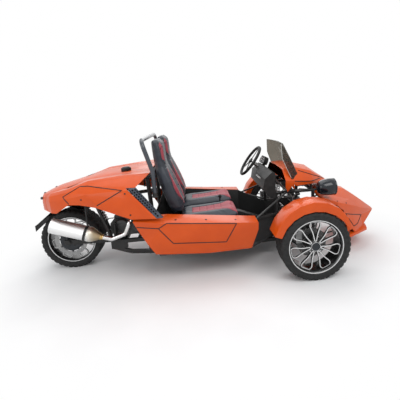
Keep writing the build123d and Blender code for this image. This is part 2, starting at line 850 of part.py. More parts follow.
with BuildPart() as hood:
    body_loft(hood_stations)
    side_prism(hood_side, -half_track, half_track, mode=Mode.INTERSECT)
    add(hood_core, mode=Mode.SUBTRACT)
save(hood, "hood")

# Swingarm, rear axle and rear brake caliper
arm_y = 155
arm_width = 28
arm_height = 46
bridge_front_x = pivot_x - 165
bridge_depth = 34
bridge_bottom_rise = 3
bridge_top_rise = 28
sleeve_wall = 8
axle_tip = 14
with BuildPart() as swingarm:
    for side in (-1, 1):
        bar((pivot_x, side * arm_y, pivot_height), (rear_axle_x - arm_height, side * arm_y, axle_height),
            arm_width, arm_height)
    box_between((bridge_front_x - bridge_depth, -arm_y, pivot_height + bridge_bottom_rise),
                (bridge_front_x, arm_y, pivot_height + bridge_top_rise))
    rod((pivot_x, -arm_y - arm_width, pivot_height), (pivot_x, arm_y + arm_width, pivot_height),
        pivot_radius + shaft_gap + sleeve_wall)
    rod((pivot_x, -rail_y, pivot_height), (pivot_x, rail_y, pivot_height), pivot_radius + shaft_gap,
        mode=Mode.SUBTRACT)
    rod((rear_axle_x, -arm_y - arm_width / 2 - axle_tip, axle_height),
        (rear_axle_x, arm_y + arm_width / 2 + axle_tip, axle_height), hub_bore_radius)
save(swingarm, "swingarm")

rear_caliper_x = rear_axle_x + rear_disc_outer_radius - caliper_height / 2 + caliper_gap
with BuildPart() as rear_caliper:
    seat_z = axle_height + arm_height / 2 + seat_gap
    box_between((rear_caliper_x - caliper_height / 2, -arm_y + arm_width / 2 + seat_gap, seat_z),
                (rear_caliper_x + caliper_height / 2, rear_disc_y + caliper_thickness / 3,
                 seat_z + caliper_length * 0.8))
    rod((rear_axle_x, rear_disc_y - caliper_gap, axle_height),
        (rear_axle_x, rear_disc_y + disc_thickness + caliper_gap, axle_height),
        rear_disc_outer_radius + caliper_gap, mode=Mode.SUBTRACT)
    box_between((rear_caliper_x - caliper_height / 2, -arm_y - arm_width / 2, seat_z),
                (rear_caliper_x + caliper_height / 2, -arm_y + arm_width, seat_z + arm_height / 2))
save(rear_caliper, "rear_caliper")

hoop_foot = (hoop_x, rail_y, pivot_height + rail_size / 2)
hoop_head = (hoop_x, hoop_half_width, hoop_top)
waist = along(hoop_foot, hoop_head, waist_share)
rail_end = (rear_rail_end_x, rear_rail_y, rear_rail_end_z)
shock_mount = along(waist, rail_end, shock_mount_share)

# Rear shock from the swingarm bridge to a cross tube of the frame
shock_low = (bridge_front_x - bridge_depth / 2, 0, pivot_height + bridge_top_rise + eye_radius + seat_gap)
shock_high = (shock_mount[0], 0, shock_mount[2] - frame_tube_radius - eye_radius - seat_gap)
with BuildPart() as rear_shock:
    rod(shock_low, shock_high, damper_radius)
    rod(along(shock_low, shock_high, coil_start_share), along(shock_low, shock_high, coil_end_share),
        coil_radius * 0.9)
    for end in (shock_low, shock_high):
        rod((end[0], -eye_length / 2, end[2]), (end[0], eye_length / 2, end[2]), eye_radius)
save(rear_shock, "rear_shock")

# Engine: one plain block, and its output sprocket on the left
engine_chamfer = 40
front_sprocket_x = at_x(0.2768)
front_sprocket_height = at_z(0.38)
front_sprocket_radius = 38
with BuildPart() as engine:
    box_between(engine_low, engine_high)
    chamfer(engine.edges().filter_by(Axis.Y), engine_chamfer)
save(engine, "engine")

with BuildPart() as front_sprocket:
    rod((front_sprocket_x, engine_high[1], front_sprocket_height),
        (front_sprocket_x, sprocket_y + sprocket_thickness / 2, front_sprocket_height), hub_bore_radius)
    rod((front_sprocket_x, sprocket_y - sprocket_thickness / 2, front_sprocket_height),
        (front_sprocket_x, sprocket_y + sprocket_thickness / 2, front_sprocket_height),
        front_sprocket_radius)
save(front_sprocket, "front_sprocket")

# Drive chain: one closed loop clear of both sprockets
chain_depth = 9
chain_width = 12
chain_gap = 5
arc_steps = 9


def chain_outline(grow):
    """Outline of the loop in side view, grown by an amount round both sprockets."""
    run_x = front_sprocket_x - rear_axle_x
    run_z = front_sprocket_height - axle_height
    heading = atan2(run_z, run_x)
    lean = acos((sprocket_radius - front_sprocket_radius) / (run_x ** 2 + run_z ** 2) ** 0.5)
    outline = []
    for x, z, radius, start, sweep_angle in (
        (rear_axle_x, axle_height, sprocket_radius, heading + lean, 2 * (pi - lean)),
        (front_sprocket_x, front_sprocket_height, front_sprocket_radius, heading - lean, 2 * lean),
    ):
        for step in range(arc_steps + 1):
            angle = start + sweep_angle * step / arc_steps
            reach = (radius + grow) / cos(sweep_angle / arc_steps / 2)
            outline.append((x + reach * cos(angle), z + reach * sin(angle)))
    return outline


with BuildPart() as drive_chain:
    side_prism(chain_outline(chain_gap + chain_depth), sprocket_y - chain_width / 2,
               sprocket_y + chain_width / 2)
    side_prism(chain_outline(chain_gap), sprocket_y - chain_width, sprocket_y + chain_width,
               mode=Mode.SUBTRACT)
save(drive_chain, "drive_chain")

# Silencer and pipe
silencer_rear = (silencer_rear_x, silencer_y, silencer_rear_height)
silencer_run = (silencer_length ** 2 - silencer_rise ** 2) ** 0.5
silencer_front = (silencer_rear_x + silencer_run, silencer_y, silencer_rear_height - silencer_rise)
cone_length = 86
collar_length = 24
collar_radius = 30
with BuildPart() as silencer:
    line = Vector(*silencer_front) - Vector(*silencer_rear)
    with BuildSketch(Plane(origin=silencer_front, z_dir=line)) as wide:
        Circle(silencer_radius)
    cone_tip = tuple(Vector(*silencer_front) + line.normalized() * cone_length)
    with BuildSketch(Plane(origin=cone_tip, z_dir=line)) as narrow:
        Circle(collar_radius)
    rod(silencer_rear, silencer_front, silencer_radius)
    loft([wide.sketch, narrow.sketch])
    rod(cone_tip, tuple(Vector(*cone_tip) + line.normalized() * collar_length), collar_radius)
    outlet_end = tuple(Vector(*silencer_rear) + line.normalized() * outlet_length)
    rod(silencer_rear, outlet_end, outlet_radius, mode=Mode.SUBTRACT)
save(silencer, "silencer")

pipe_start = tuple(Vector(*cone_tip) + line.normalized() * (collar_length + seat_gap))
port_x = at_x(0.2902)
port_z = at_z(0.52)
pipe_points = [
    pipe_start,
    tuple(Vector(*pipe_start) + line.normalized() * pipe_lead),
    (at_x(0.2621), silencer_y, at_z(0.39)),
    (port_x, silencer_y, port_z),
    (port_x, engine_low[1] - seat_gap, port_z),
]
with BuildPart() as exhaust_pipe:
    with BuildLine() as route:
        FilletPolyline(*pipe_points, radius=pipe_bends)
    with BuildSketch(Plane(origin=route.line @ 0, z_dir=route.line % 0)):
        Circle(pipe_radius)
    sweep(path=route.line)
save(exhaust_pipe, "exhaust_pipe")

# Rear mudguard: a plate over the tyre that runs out behind the tail
guard_wall = 6
guard_half_width = 112
guard_shares = [
    (-1.091, 0.581), (-0.678, 0.849), (-0.403, 1.097), (0, 1.198), (0.403, 1.148), (0.654, 0.980),
]


def at_tyre(share_x, share_z):
    """Point in side view at shares of the tyre radius from the rear axle."""
    return (rear_axle_x + share_x * tyre_radius, axle_height + share_z * tyre_radius)


with BuildPart() as rear_mudguard:
    under = [at_tyre(*shares) for shares in guard_shares]
    outline = under + [(x, z + guard_wall) for x, z in reversed(under)]
    side_prism(outline, -guard_half_width, guard_half_width)
save(rear_mudguard, "rear_mudguard")

# Seats: plain closed cushions and backrests
# Columns: along the car, and height as a share of the seat top
back_shares = [
    (0.5348, 0.4648), (0.5174, 0.5547), (0.4973, 0.6641), (0.4652, 0.7883), (0.4598, 0.8234),
    (0.4576, 0.9188), (0.4513, 0.9992), (0.4103, 0.9820), (0.4170, 0.8156), (0.4335, 0.6391),
    (0.4665, 0.4578), (0.4920, 0.4262), (0.5268, 0.4327),
]
cushion_shares = [
    (0.5335, 0.4336), (0.7455, 0.4570), (0.7478, 0.3906), (0.7098, 0.3281), (0.5, 0.3281),
    (0.4911, 0.4258),
]
cushion_bottom = seat_top_height * 0.3281
riser_wall = 12
riser_reach = 164
riser_front_x = at_x(0.7054)
riser_rear_x = at_x(0.5045)
riser_foot = tub_floor + tub_wall + seat_gap
for name, side in (("right", -1), ("left", 1)):
    centre = side * seat_spacing / 2
    with BuildPart() as seat_back:
        side_prism([(at_x(u), seat_top_height * v) for u, v in back_shares],
                   centre - seat_width / 2, centre + seat_width / 2)
    save(seat_back, f"seat_back_{name}")
    with BuildPart() as seat_cushion:
        side_prism([(at_x(u), seat_top_height * v) for u, v in cushion_shares],
                   centre - seat_width / 2, centre + seat_width / 2)
    save(seat_cushion, f"seat_cushion_{name}")

# Seat risers: low grids of upright plates under the cushions
with BuildPart() as seat_risers:
    for side in (-1, 1):
        centre = side * seat_spacing / 2
        for reach in (-1, 0, 1):
            y = centre + reach * riser_reach
            box_between((riser_rear_x, y - riser_wall / 2, riser_foot),
                        (riser_front_x, y + riser_wall / 2, cushion_bottom - seat_gap))
            x = (riser_rear_x + riser_front_x) / 2 + reach * (riser_front_x - riser_rear_x - riser_wall) / 2
            box_between((x - riser_wall / 2, centre - riser_reach, riser_foot),
                        (x + riser_wall / 2, centre + riser_reach, cushion_bottom - seat_gap))
save(seat_risers, "seat_risers")

# Roll hoops: one tube hoop behind each seat, with its feet on the main frame
hoop_clearance = 5
roll_points = [
    (at_x(0.4143), at_z(0.764)),
    (at_x(0.4143), at_z(0.985)),
    (at_x(0.3817), seat_top_height - hoop_tube_radius),
]
roll_outer_y = seat_spacing / 2 + seat_width / 2 + hoop_tube_radius + hoop_clearance
roll_inner_y = 0
roll_bend = 70
with BuildPart() as roll_hoops:
    for side in (-1, 1):
        points = [(x, side * roll_outer_y, z) for x, z in roll_points]
        points += [(roll_points[2][0], side * roll_inner_y, roll_points[2][1])]
        with BuildLine() as route:
            FilletPolyline(*points, radius=roll_bend)
        with BuildSketch(Plane(origin=route.line @ 0, z_dir=route.line % 0)):
            Circle(hoop_tube_radius)
        sweep(path=route.line)
save(roll_hoops, "roll_hoops")

# Centre console with gear lever and handbrake
console_top = 452
console_shares = [
    (0.8661, 0.7301), (0.7679, 0.9292), (0.6875, 1), (0.5, 1),
]
lever_radius = 7
lever_sink = 12
lever_height = 138
knob_radius = 19
lever_foot = (at_x(0.675), 0, console_top - lever_sink)
lever_top = (at_x(0.6817), 0, console_top + lever_height)
brake_y = -18
brake_steps = [(0.5536, -lever_sink), (0.6071, 48), (0.6473, 68)]
brake_points = [(at_x(u), brake_y, console_top + rise) for u, rise in brake_steps]
with BuildPart() as console:
    console_side = [(at_x(u), console_top * v) for u, v in console_shares]
    console_side += [(console_side[-1][0], riser_foot), (console_side[0][0], riser_foot)]
    side_prism(console_side, -console_half_width, console_half_width)
    rod(lever_foot, lever_top, lever_radius)
    with Locations(lever_top):
        Sphere(knob_radius)
    for start, end in zip(brake_points, brake_points[1:]):
        rod(start, end, lever_radius * 1.5)
save(console, "console")

# Steering wheel, its shaft and the column that carries it
column_tilt = (0.792, 0, -0.610)
wheel_centre = (at_x(0.8531), at_y(0.357), at_z(0.9))
steering_wheel_radius = 187
grip_width = 26
wheel_sides = 24
shaft_radius = 10
column_radius = 22
column_start = 30
column_length = 262
boss_radius = 34
spoke_turns = (0, 140, 220)


def down_column(distance):
    """Point on the steering axis at a distance in front of the steering wheel."""
    return tuple(a + b * distance for a, b in zip(wheel_centre, column_tilt))


with BuildPart() as steering_wheel:
    rim_plane = Plane(origin=down_column(-grip_width / 2), x_dir=(0, 1, 0), z_dir=column_tilt)
    with BuildSketch(rim_plane) as grip:
        RegularPolygon(steering_wheel_radius, wheel_sides)
        RegularPolygon(steering_wheel_radius - grip_width, wheel_sides, mode=Mode.SUBTRACT)
    extrude(grip.sketch, amount=grip_width)
    with BuildSketch(rim_plane.offset(grip_width / 3)) as spokes:
        Circle(boss_radius)
        spoke_middle = (boss_radius + steering_wheel_radius - grip_width) / 2
        for turn in spoke_turns:
            with Locations(Rot(0, 0, turn) * Pos(0, spoke_middle, 0)):
                Rectangle(grip_width, steering_wheel_radius - grip_width - boss_radius / 2)
    extrude(spokes.sketch, amount=grip_width / 2)
    rod(down_column(0), down_column(column_length - overrun), shaft_radius)
save(steering_wheel, "steering_wheel")

joint_a = down_column(column_length)
joint_b = (at_x(1.0469), at_y(0.2143), at_z(0.47))
joint_c = (arm_tip_x, joint_b[1], tie_z + column_radius + seat_gap)
with BuildPart() as steering_column:
    rod(down_column(column_start), joint_a, column_radius)
    rod(joint_a, joint_b, shaft_radius)
    rod(joint_b, joint_c, shaft_radius)
    for joint in (joint_a, joint_b):
        with Locations(joint):
            Sphere(column_radius * 0.8)
    rod(down_column(column_start - overrun), down_column(column_length - overrun + seam),
        shaft_radius + shaft_gap, mode=Mode.SUBTRACT)
save(steering_column, "steering_column")

# Dash
# Columns: share of the depth behind the bulkhead, and height
dash_depth = 124
dash_front_x = bulkhead_x - frame_tube_radius - seat_gap
dash_shares = [(0, 0.6), (0, 0.85), (0.23, 0.862), (0.84, 0.8), (1, 0.7), (0.515, 0.62)]
dash_half_width = at_y(0.471)
with BuildPart() as dash:
    side_prism([(dash_front_x - dash_depth * u, at_z(v)) for u, v in dash_shares],
               -dash_half_width, dash_half_width)
    rod(down_column(0), down_column(column_length), column_radius + seat_gap, mode=Mode.SUBTRACT)
save(dash, "dash")

# Pedals on one cross bar
pedal_bar = (at_x(0.9866), at_z(0.4))
pedal_reach = 38
pedal_drop = 100
pedal_arm_width = 14
pedal_arm_depth = 10
pedal_shares = (0.265, 0.553, 0.841)
pad_width = 48
pad_height = 50
pad_thickness = 12
with BuildPart() as pedals:
    bar_x, bar_z = pedal_bar
    places = [share * footwell_half_width for share in pedal_shares]
    rod((bar_x, places[0] - overrun, bar_z),
        (bar_x, footwell_half_width - tub_wall - seat_gap, bar_z), lever_radius)
    for y in places:
        foot = (bar_x - pedal_reach, y, bar_z - pedal_drop)
        bar((bar_x, y, bar_z), foot, pedal_arm_width, pedal_arm_depth)
        with Locations(foot):
            Box(pad_thickness, pad_width, pad_height)
save(pedals, "pedals")

# Headlamps
lamp_y = at_y(0.5714)
lamp_z = at_z(0.69)
lamp_radius = 80
lamp_drum = 95
lamp_front_x = at_x(1.154)
lamp_back_x = at_x(1.0804)
lamp_back_radius = 44
with BuildPart() as headlamps:
    for side in (-1, 1):
        rod((lamp_front_x - lamp_drum, side * lamp_y, lamp_z), (lamp_front_x, side * lamp_y, lamp_z),
            lamp_radius)
        with BuildSketch(Plane.YZ.offset(lamp_front_x - lamp_drum)) as wide:
            with Locations((side * lamp_y, lamp_z)):
                Circle(lamp_radius)
        with BuildSketch(Plane.YZ.offset(lamp_back_x)) as narrow:
            with Locations((side * lamp_y, lamp_z)):
                Circle(lamp_back_radius)
        loft([narrow.sketch, wide.sketch])
save(headlamps, "headlamps")

# Windscreen: a faceted sheet that stands on the hood
screen_wall = 4
# Columns: share of the screen's height, then corners from the outer edge to the middle
screen_shares = [
    (0.701, [(0.980, 0.5214), (1.0188, 0.4286), (1.0469, 0)]),
    (0.875, [(0.9478, 0.4514), (0.9866, 0.3643), (1.0054, 0)]),
    (1, [(0.9464, 0.4329), (0.9563, 0.3857), (0.9679, 0)]),
]
with BuildPart() as windscreen:
    sections = []
    for height_share, corners in screen_shares:
        half = [(at_x(u), at_y(v)) for u, v in corners]
        outer = half + [(x, -y) for x, y in reversed(half) if y]
        inner = [(x - screen_wall * 1.4, y * (1 - screen_wall / half[0][1]))
                 for x, y in reversed(outer)]
        sections.append([(x, y, screen_height * height_share) for x, y in outer + inner])
    facet_body(sections)
    add(core_of(hood_stations, [-seat_gap] * len(hood_gaps)), mode=Mode.SUBTRACT)
save(windscreen, "windscreen")

# Filler cap on the deck and lamp on the tail
filler_place = (at_x(0.2772), at_y(-0.143))
filler_flange_radius = 48
filler_lid_radius = 36
with BuildPart() as deck_cap:
    rod((*filler_place, at_z(0.94)), (*filler_place, at_z(0.984)), filler_flange_radius)
    rod((*filler_place, at_z(0.97)), (*filler_place, at_z(0.992)), filler_lid_radius)
    add(core_of(tail_stations, [-seat_gap] * len(tail_gaps)), mode=Mode.SUBTRACT)
save(deck_cap, "deck_cap")

tail_lamp_depth = 16
tail_lamp_half_width = at_y(0.2143)
with BuildPart() as tail_lamp:
    back_x = tail_stations[0][0]
    box_between((back_x - tail_lamp_depth, -tail_lamp_half_width, at_z(0.7)),
                (back_x - seat_gap, tail_lamp_half_width, at_z(0.75)))
save(tail_lamp, "tail_lamp")

# Main frame: floor rails, pivot plates, seat hoop, rear rails and the ribs under the tail
roll_foot = (at_x(0.4107), at_y(0.5), at_z(0.8))
strap_share = 0.835
strap_width_share = 0.06
strap = along(silencer_rear, silencer_front, strap_share)
strap_end = along(silencer_rear, silencer_front, strap_share + strap_width_share)
strap_radius = silencer_radius + seat_gap + seam
strap_lift = Vector(silencer_rise, 0, silencer_run).normalized() * (strap_radius - seam / 2)
hanger_foot = tuple(Vector(*along(strap, strap_end, 0.5)) + strap_lift)
hanger_share = (hanger_foot[0] - waist[0]) / (rail_end[0] - waist[0])
hanger_top = (hanger_foot[0], -along(waist, rail_end, hanger_share)[1],
              along(waist, rail_end, hanger_share)[2])
guard_feet = [(rail_end, -0.0034, 1.2248), (shock_mount, 0.5295, 1.0859)]
guard_stay_y = at_y(0.093)
cross_tubes = [
    (*hoop_head, hoop_tube_radius),
    (rail_rear_x, rail_y, rail_z, frame_tube_radius),
    (pivot_x, rail_y, pivot_height, pivot_radius),
    (*rail_end, frame_tube_radius),
    (*shock_mount, frame_tube_radius),
    (engine_front_mount_x, rail_y, engine_low[2] - seat_gap - frame_tube_radius, frame_tube_radius),
]
tail_ribs = [(at_x(0.0089), at_y(0.5486)), (at_x(0.2946), at_y(0.8314))]
with BuildPart() as main_frame:
    for side in (-1, 1):
        y = side * rail_y
        rail_points = [
            (bulkhead_x - frame_tube_radius - seat_gap, y, rail_z),
            (rail_rear_x, y, rail_z),
            (pivot_x + rail_size * 2, y, rail_z + rail_size / 2),
            (pivot_x - rail_size * 3, y, pivot_height - rail_size),
        ]
        for start, end in zip(rail_points, rail_points[1:]):
            bar(start, end, rail_size, rail_size)
        bar((rail_rear_x, y, pivot_height + rail_size / 2),
            (pivot_x - rail_size * 3, y, pivot_height + rail_size / 2), rail_size, rail_size)
        box_between((rail_rear_x - rail_size, y - rail_size / 2, rail_bottom),
                    (rail_rear_x + rail_size / 2, y + rail_size / 2, pivot_height + rail_size))
        box_between((pivot_x - rail_size * 3.5, y - rail_size / 2, pivot_height - rail_size * 1.5),
                    (pivot_x + rail_size, y + rail_size / 2, pivot_height + rail_size))
        for start, end, radius in (
            (hoop_foot, hoop_head, hoop_tube_radius),
            ((rail_rear_x + rail_size / 2, rail_y, hoop_foot[2]), hoop_foot, frame_tube_radius),
            (waist, rail_end, frame_tube_radius),
            ((pivot_x - rail_size * 3, rail_y, pivot_height + rail_size),
             along(waist, rail_end, brace_share), frame_tube_radius),
            (waist, roll_foot, frame_tube_radius),
            (roll_foot, (roll_foot[0], roll_outer_y - hoop_tube_radius - seat_gap, roll_foot[2]),
             frame_tube_radius),
        ):
            rod((start[0], side * start[1], start[2]), (end[0], side * end[1], end[2]), radius)
        for top, *shares in guard_feet:
            foot_x, foot_z = at_tyre(*shares)
            rod((top[0], side * guard_stay_y, top[2]), (foot_x, side * guard_stay_y, foot_z), stay_radius)
        post = (engine_mount_x, y, engine_mount_z)
        rod((engine_mount_x, y, pivot_height), post, frame_tube_radius)
        face_y = engine_low[1] - seat_gap if side < 0 else engine_high[1] + seat_gap
        rod(post, (engine_mount_x, face_y, engine_mount_z), frame_tube_radius)
        with Locations((roll_foot[0], side * roll_foot[1], roll_foot[2])):
            Sphere(frame_tube_radius)
    for x, reach, z, radius in cross_tubes:
        rod((x, -reach, z), (x, reach, z), radius)
    for place, leg_y in tail_ribs:
        add(rib(tail_inside, tail_gaps, tail_side, place))
        x, y, z = along(waist, rail_end, (place + rib_width / 2 - waist[0]) / (rail_end[0] - waist[0]))
        for side in (-1, 1):
            rod((x, side * y, z), (x, side * leg_y, z), rib_width / 2)
    # Hanger strap of the silencer
    rod(strap, strap_end, strap_radius)
    rod(hanger_foot, hanger_top, stay_radius)
    rod(silencer_rear, silencer_front, silencer_radius + seat_gap, mode=Mode.SUBTRACT)
save(main_frame, "main_frame")

# Struts of the front frame on one side of the car as (start, end, radius)
sill_seat = (at_x(0.8063), sill_inner_y - strut_radius - seat_gap, at_z(0.48))
frame_side = bulkhead_half_width
front_struts = [
    (sill_seat, (at_x(0.9643), at_y(0.4286), at_z(0.655)), strut_radius),
    (sill_seat, (at_x(0.9241), at_y(0.3971), at_z(0.438)), strut_radius),
    ((at_x(0.9674), frame_side, upper_frame_height), (at_x(0.9674), at_y(0.4957), at_z(0.705)),
     stay_radius),
    ((at_x(1.0768), frame_side, upper_frame_height), (at_x(1.0768), at_y(0.3786), at_z(0.722)),
     stay_radius),
    ((nose_frame_x, frame_side, at_z(0.56)), (at_x(1.1103), at_y(0.3286), at_z(0.576)), stay_radius),
    ((nose_frame_x, frame_side, rail_z), (at_x(1.2308), at_y(0.4757), at_z(0.232)), stay_radius),
]
hood_ribs = (at_x(0.9643), at_x(1.0737))
nose_ribs = (at_x(1.1071), at_x(1.2277))

# Front frame: box of tubes that carries the wishbones, the rack, the hood and the nose
with BuildPart() as front_frame:
    for side in (-1, 1):
        y = side * bulkhead_half_width
        for x in (bulkhead_x, nose_frame_x):
            rod((x, y, rail_z), (x, y, upper_frame_height), frame_tube_radius)
        for z in (lower_arm_z, upper_arm_z, upper_frame_height):
            rod((bulkhead_x, y, z), (nose_frame_x, y, z), frame_tube_radius)
        eye_top = coil_upper_height + eye_radius + frame_tube_radius + seat_gap
        for end in (-1, 1):
            rod((front_axle_x + end * arm_spread, y, upper_frame_height),
                (front_axle_x + end * overrun, side * coil_upper_y, eye_top + tower_rise), frame_tube_radius)
        rod((front_axle_x - overrun * 1.5, side * coil_upper_y, eye_top),
            (front_axle_x + overrun * 1.5, side * coil_upper_y, eye_top), frame_tube_radius)
        for start, end, radius in front_struts:
            rod((start[0], side * start[1], start[2]), (end[0], side * end[1], end[2]), radius)
        rod((nose_frame_x, y, upper_frame_height), (lamp_stalk_x, y, upper_frame_height), strut_radius)
        lamp_axis = (lamp_stalk_x, side * lamp_y, lamp_z)
        away = Vector(lamp_stalk_x, y, upper_frame_height) - Vector(*lamp_axis)
        lamp_side = tuple(Vector(*lamp_axis) + away.normalized() * (lamp_radius + seat_gap))
        rod((lamp_stalk_x, y, upper_frame_height), lamp_side, strut_radius)
        with Locations((lamp_stalk_x, y, upper_frame_height)):
            Sphere(strut_radius)
        box_between((arm_tip_x - rack_radius, y - frame_tube_radius, lower_arm_z),
                    (arm_tip_x + rack_radius, y + frame_tube_radius, tie_z + rack_radius))
    rod((arm_tip_x, -bulkhead_half_width, tie_z), (arm_tip_x, bulkhead_half_width, tie_z), rack_radius)
    for x, z in ((bulkhead_x, rail_z), (nose_frame_x, rail_z), (bulkhead_x, upper_frame_height),
                 (nose_frame_x, upper_frame_height)):
        rod((x, -bulkhead_half_width, z), (x, bulkhead_half_width, z), frame_tube_radius)
    for place in hood_ribs:
        add(rib(hood_inside, hood_gaps, hood_side, place))
    for place in nose_ribs:
        add(rib(nose_inside, nose_gaps, nose_side, place, lip_top + seat_gap))
    rod((arm_tip_x, -kingpin_y, tie_z), (arm_tip_x, kingpin_y, tie_z), tie_rod_radius + shaft_gap,
        mode=Mode.SUBTRACT)
save(front_frame, "front_frame")
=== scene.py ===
import json
import math

import bmesh
import bpy
from mathutils import Matrix, Vector
from mathutils.bvhtree import BVHTree
from mathutils.kdtree import KDTree


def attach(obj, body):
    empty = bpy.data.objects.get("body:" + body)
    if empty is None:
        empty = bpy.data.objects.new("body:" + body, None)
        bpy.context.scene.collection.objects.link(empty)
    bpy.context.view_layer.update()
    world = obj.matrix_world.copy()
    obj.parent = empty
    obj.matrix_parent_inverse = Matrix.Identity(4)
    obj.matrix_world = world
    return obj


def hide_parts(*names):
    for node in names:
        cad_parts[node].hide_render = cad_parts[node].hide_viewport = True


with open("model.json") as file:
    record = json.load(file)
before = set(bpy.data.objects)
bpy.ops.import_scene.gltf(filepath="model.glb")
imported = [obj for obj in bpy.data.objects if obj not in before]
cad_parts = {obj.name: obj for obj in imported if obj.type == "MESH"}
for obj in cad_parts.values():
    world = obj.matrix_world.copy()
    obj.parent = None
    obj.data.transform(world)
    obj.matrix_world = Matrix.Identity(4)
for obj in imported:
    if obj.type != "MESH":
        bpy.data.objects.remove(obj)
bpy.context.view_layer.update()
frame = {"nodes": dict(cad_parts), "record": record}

# Places of the CAD model that the added pieces follow, in metres
FRONT_X, REAR_X, AXLE_Z, TRACK_Y = 0.820, -1.420, 0.298, 0.748
TYRE_R, FLANGE_R = 0.298, 0.233
FACE = 0.074
ALONG, ABOVE = (1, 0, 0), (0, 0, 1)
SPROCKET_X, SPROCKET_Z = -0.800, 0.380


# Node materials
class Mat:
    """A material whose nodes are added by short calls."""

    def __init__(self, name, rough=0.5, metal=0.0, **sockets):
        self.material = bpy.data.materials.new(name)
        self.material.use_nodes = True
        self.tree = self.material.node_tree
        self.shader = self.tree.nodes["Principled BSDF"]
        self.shader.inputs["Roughness"].default_value = rough
        self.shader.inputs["Metallic"].default_value = metal
        for key, value in sockets.items():
            self.shader.inputs[key.replace("_", " ")].default_value = value
        self.coords = self.tree.nodes.new("ShaderNodeTexCoord").outputs["Object"]
        self.height = None

    def node(self, kind, inputs=None, **settings):
        made = self.tree.nodes.new(kind)
        for key, value in settings.items():
            setattr(made, key, value)
        for key, value in (inputs or {}).items():
            if isinstance(value, bpy.types.NodeSocket):
                self.tree.links.new(value, made.inputs[key])
            else:
                made.inputs[key].default_value = value
        return made

    def stretched(self, scale):
        return self.node("ShaderNodeMapping", {"Vector": self.coords, "Scale": scale}).outputs["Vector"]

    def noise(self, scale, detail=3.0, stretch=None):
        vector = self.stretched(stretch) if stretch else self.coords
        return self.node("ShaderNodeTexNoise", {"Vector": vector, "Scale": scale,
                "Detail": detail}).outputs["Fac"]

    def ramp(self, factor, *stops):
        made = self.node("ShaderNodeValToRGB", {"Fac": factor})
        elements = made.color_ramp.elements
        while len(elements) < len(stops):
            elements.new(0.5)
        for element, (place, colour) in zip(elements, stops):
            element.position = place
            element.color = (*colour, 1)
        return made.outputs["Color"]

    def colour(self, factor, *stops):
        self.tree.links.new(self.ramp(factor, *stops), self.shader.inputs["Base Color"])
        return self

    def roughness(self, factor, low, high):
        made = self.node("ShaderNodeMapRange", {"Value": factor, "To Min": low, "To Max": high})
        self.tree.links.new(made.outputs["Result"], self.shader.inputs["Roughness"])
        return self

    def bump(self, factor, strength, distance):
        inputs = {"Height": factor, "Strength": strength, "Distance": distance}
        if self.height is not None:
            inputs["Normal"] = self.height
        made = self.node("ShaderNodeBump", inputs)
        self.height = made.outputs["Normal"]
        self.tree.links.new(self.height, self.shader.inputs["Normal"])
        return self


def shade(level):
    """A neutral colour."""
    return (level, level, level)


def surface(name, roughness, metal, scale, stops, rough=None, bump=None, **sockets):
    """Material with noise in its colour (two greys or a list of stops), roughness and height."""
    made = Mat(name, roughness, metal, **sockets)
    if isinstance(stops, tuple):
        stops = [(0.3, shade(stops[0])), (0.8, shade(stops[1]))]
    made.colour(made.noise(*scale), *stops)
    if rough:
        made.roughness(made.noise(*rough[0]), *rough[1:])
    if bump:
        made.bump(made.noise(*bump[0]), *bump[1:])
    return made


paint = surface(
    "orange_paint", 0.36, 0.0, (6, 2), [(0.3, (0.57, 0.068, 0.004)), (0.7, (0.63, 0.080, 0.005))],
    rough=((14, 4), 0.28, 0.42), bump=((420, 1), 0.05, 0.0004),
    Coat_Weight=0.2, Coat_Roughness=0.08, Specular_IOR_Level=0.2)
black_paint = surface(
    "satin_black_paint", 0.42, 0.0, (20, 4), [(0.3, shade(0.012)), (0.75, shade(0.026))],
    rough=((35, 4), 0.3, 0.55), bump=((600, 2), 0.12, 0.0004),
    Coat_Weight=0.12, Coat_Roughness=0.2, Specular_IOR_Level=0.3)
hoop_paint = surface(
    "blue_black_hoop_paint", 0.32, 0.0, (12, 3), [(0.3, (0.018, 0.024, 0.033)),
            (0.75, (0.030, 0.038, 0.052))],
    rough=((40, 3), 0.25, 0.42), bump=((500, 2), 0.08, 0.0003),
    Coat_Weight=0.5, Coat_Roughness=0.12)
moulding = surface(
    "black_moulding", 0.5, 0.0, (30, 5), (0.010, 0.024),
    rough=((60, 3), 0.4, 0.62), bump=((900, 3), 0.35, 0.0004),
    Specular_IOR_Level=0.25)
laminate = Mat("black_laminate", 0.45, Specular_IOR_Level=0.3)
checker = laminate.node("ShaderNodeTexChecker", {"Vector": laminate.coords, "Scale": 330.0})
laminate.colour(checker.outputs["Fac"], (0.0, shade(0.013)), (1.0, shade(0.028)))
laminate.roughness(laminate.noise(25, 4), 0.35, 0.55)
rubber = surface(
    "tyre_rubber", 0.72, 0.0, (40, 5), (0.012, 0.028),
    rough=((22, 4), 0.6, 0.85), bump=((800, 3), 0.3, 0.0005),
    Specular_IOR_Level=0.3)
grip = surface(
    "soft_grip", 0.62, 0.0, (60, 4), (0.010, 0.022),
    Specular_IOR_Level=0.25)
cells = grip.node("ShaderNodeTexVoronoi", {"Vector": grip.coords, "Scale": 700.0})
grip.bump(cells.outputs["Distance"], 0.35, 0.0006)
rim_black = surface(
    "gloss_black_alloy", 0.2, 0.25, (30, 3), (0.010, 0.022),
    rough=((50, 4), 0.14, 0.3), bump=((700, 2), 0.04, 0.0003),
    Coat_Weight=0.7, Coat_Roughness=0.06)
machined = surface(
    "machined_silver", 0.22, 1.0, (120, 4), (0.60, 0.80),
    rough=((260, 3, (1, 1, 6)), 0.14, 0.32), bump=((900, 2, (1, 1, 8)), 0.06, 0.0002))
steel = surface(
    "zinc_steel", 0.35, 1.0, (50, 5), (0.38, 0.56),
    rough=((140, 4), 0.25, 0.48), bump=((600, 3), 0.1, 0.0003))
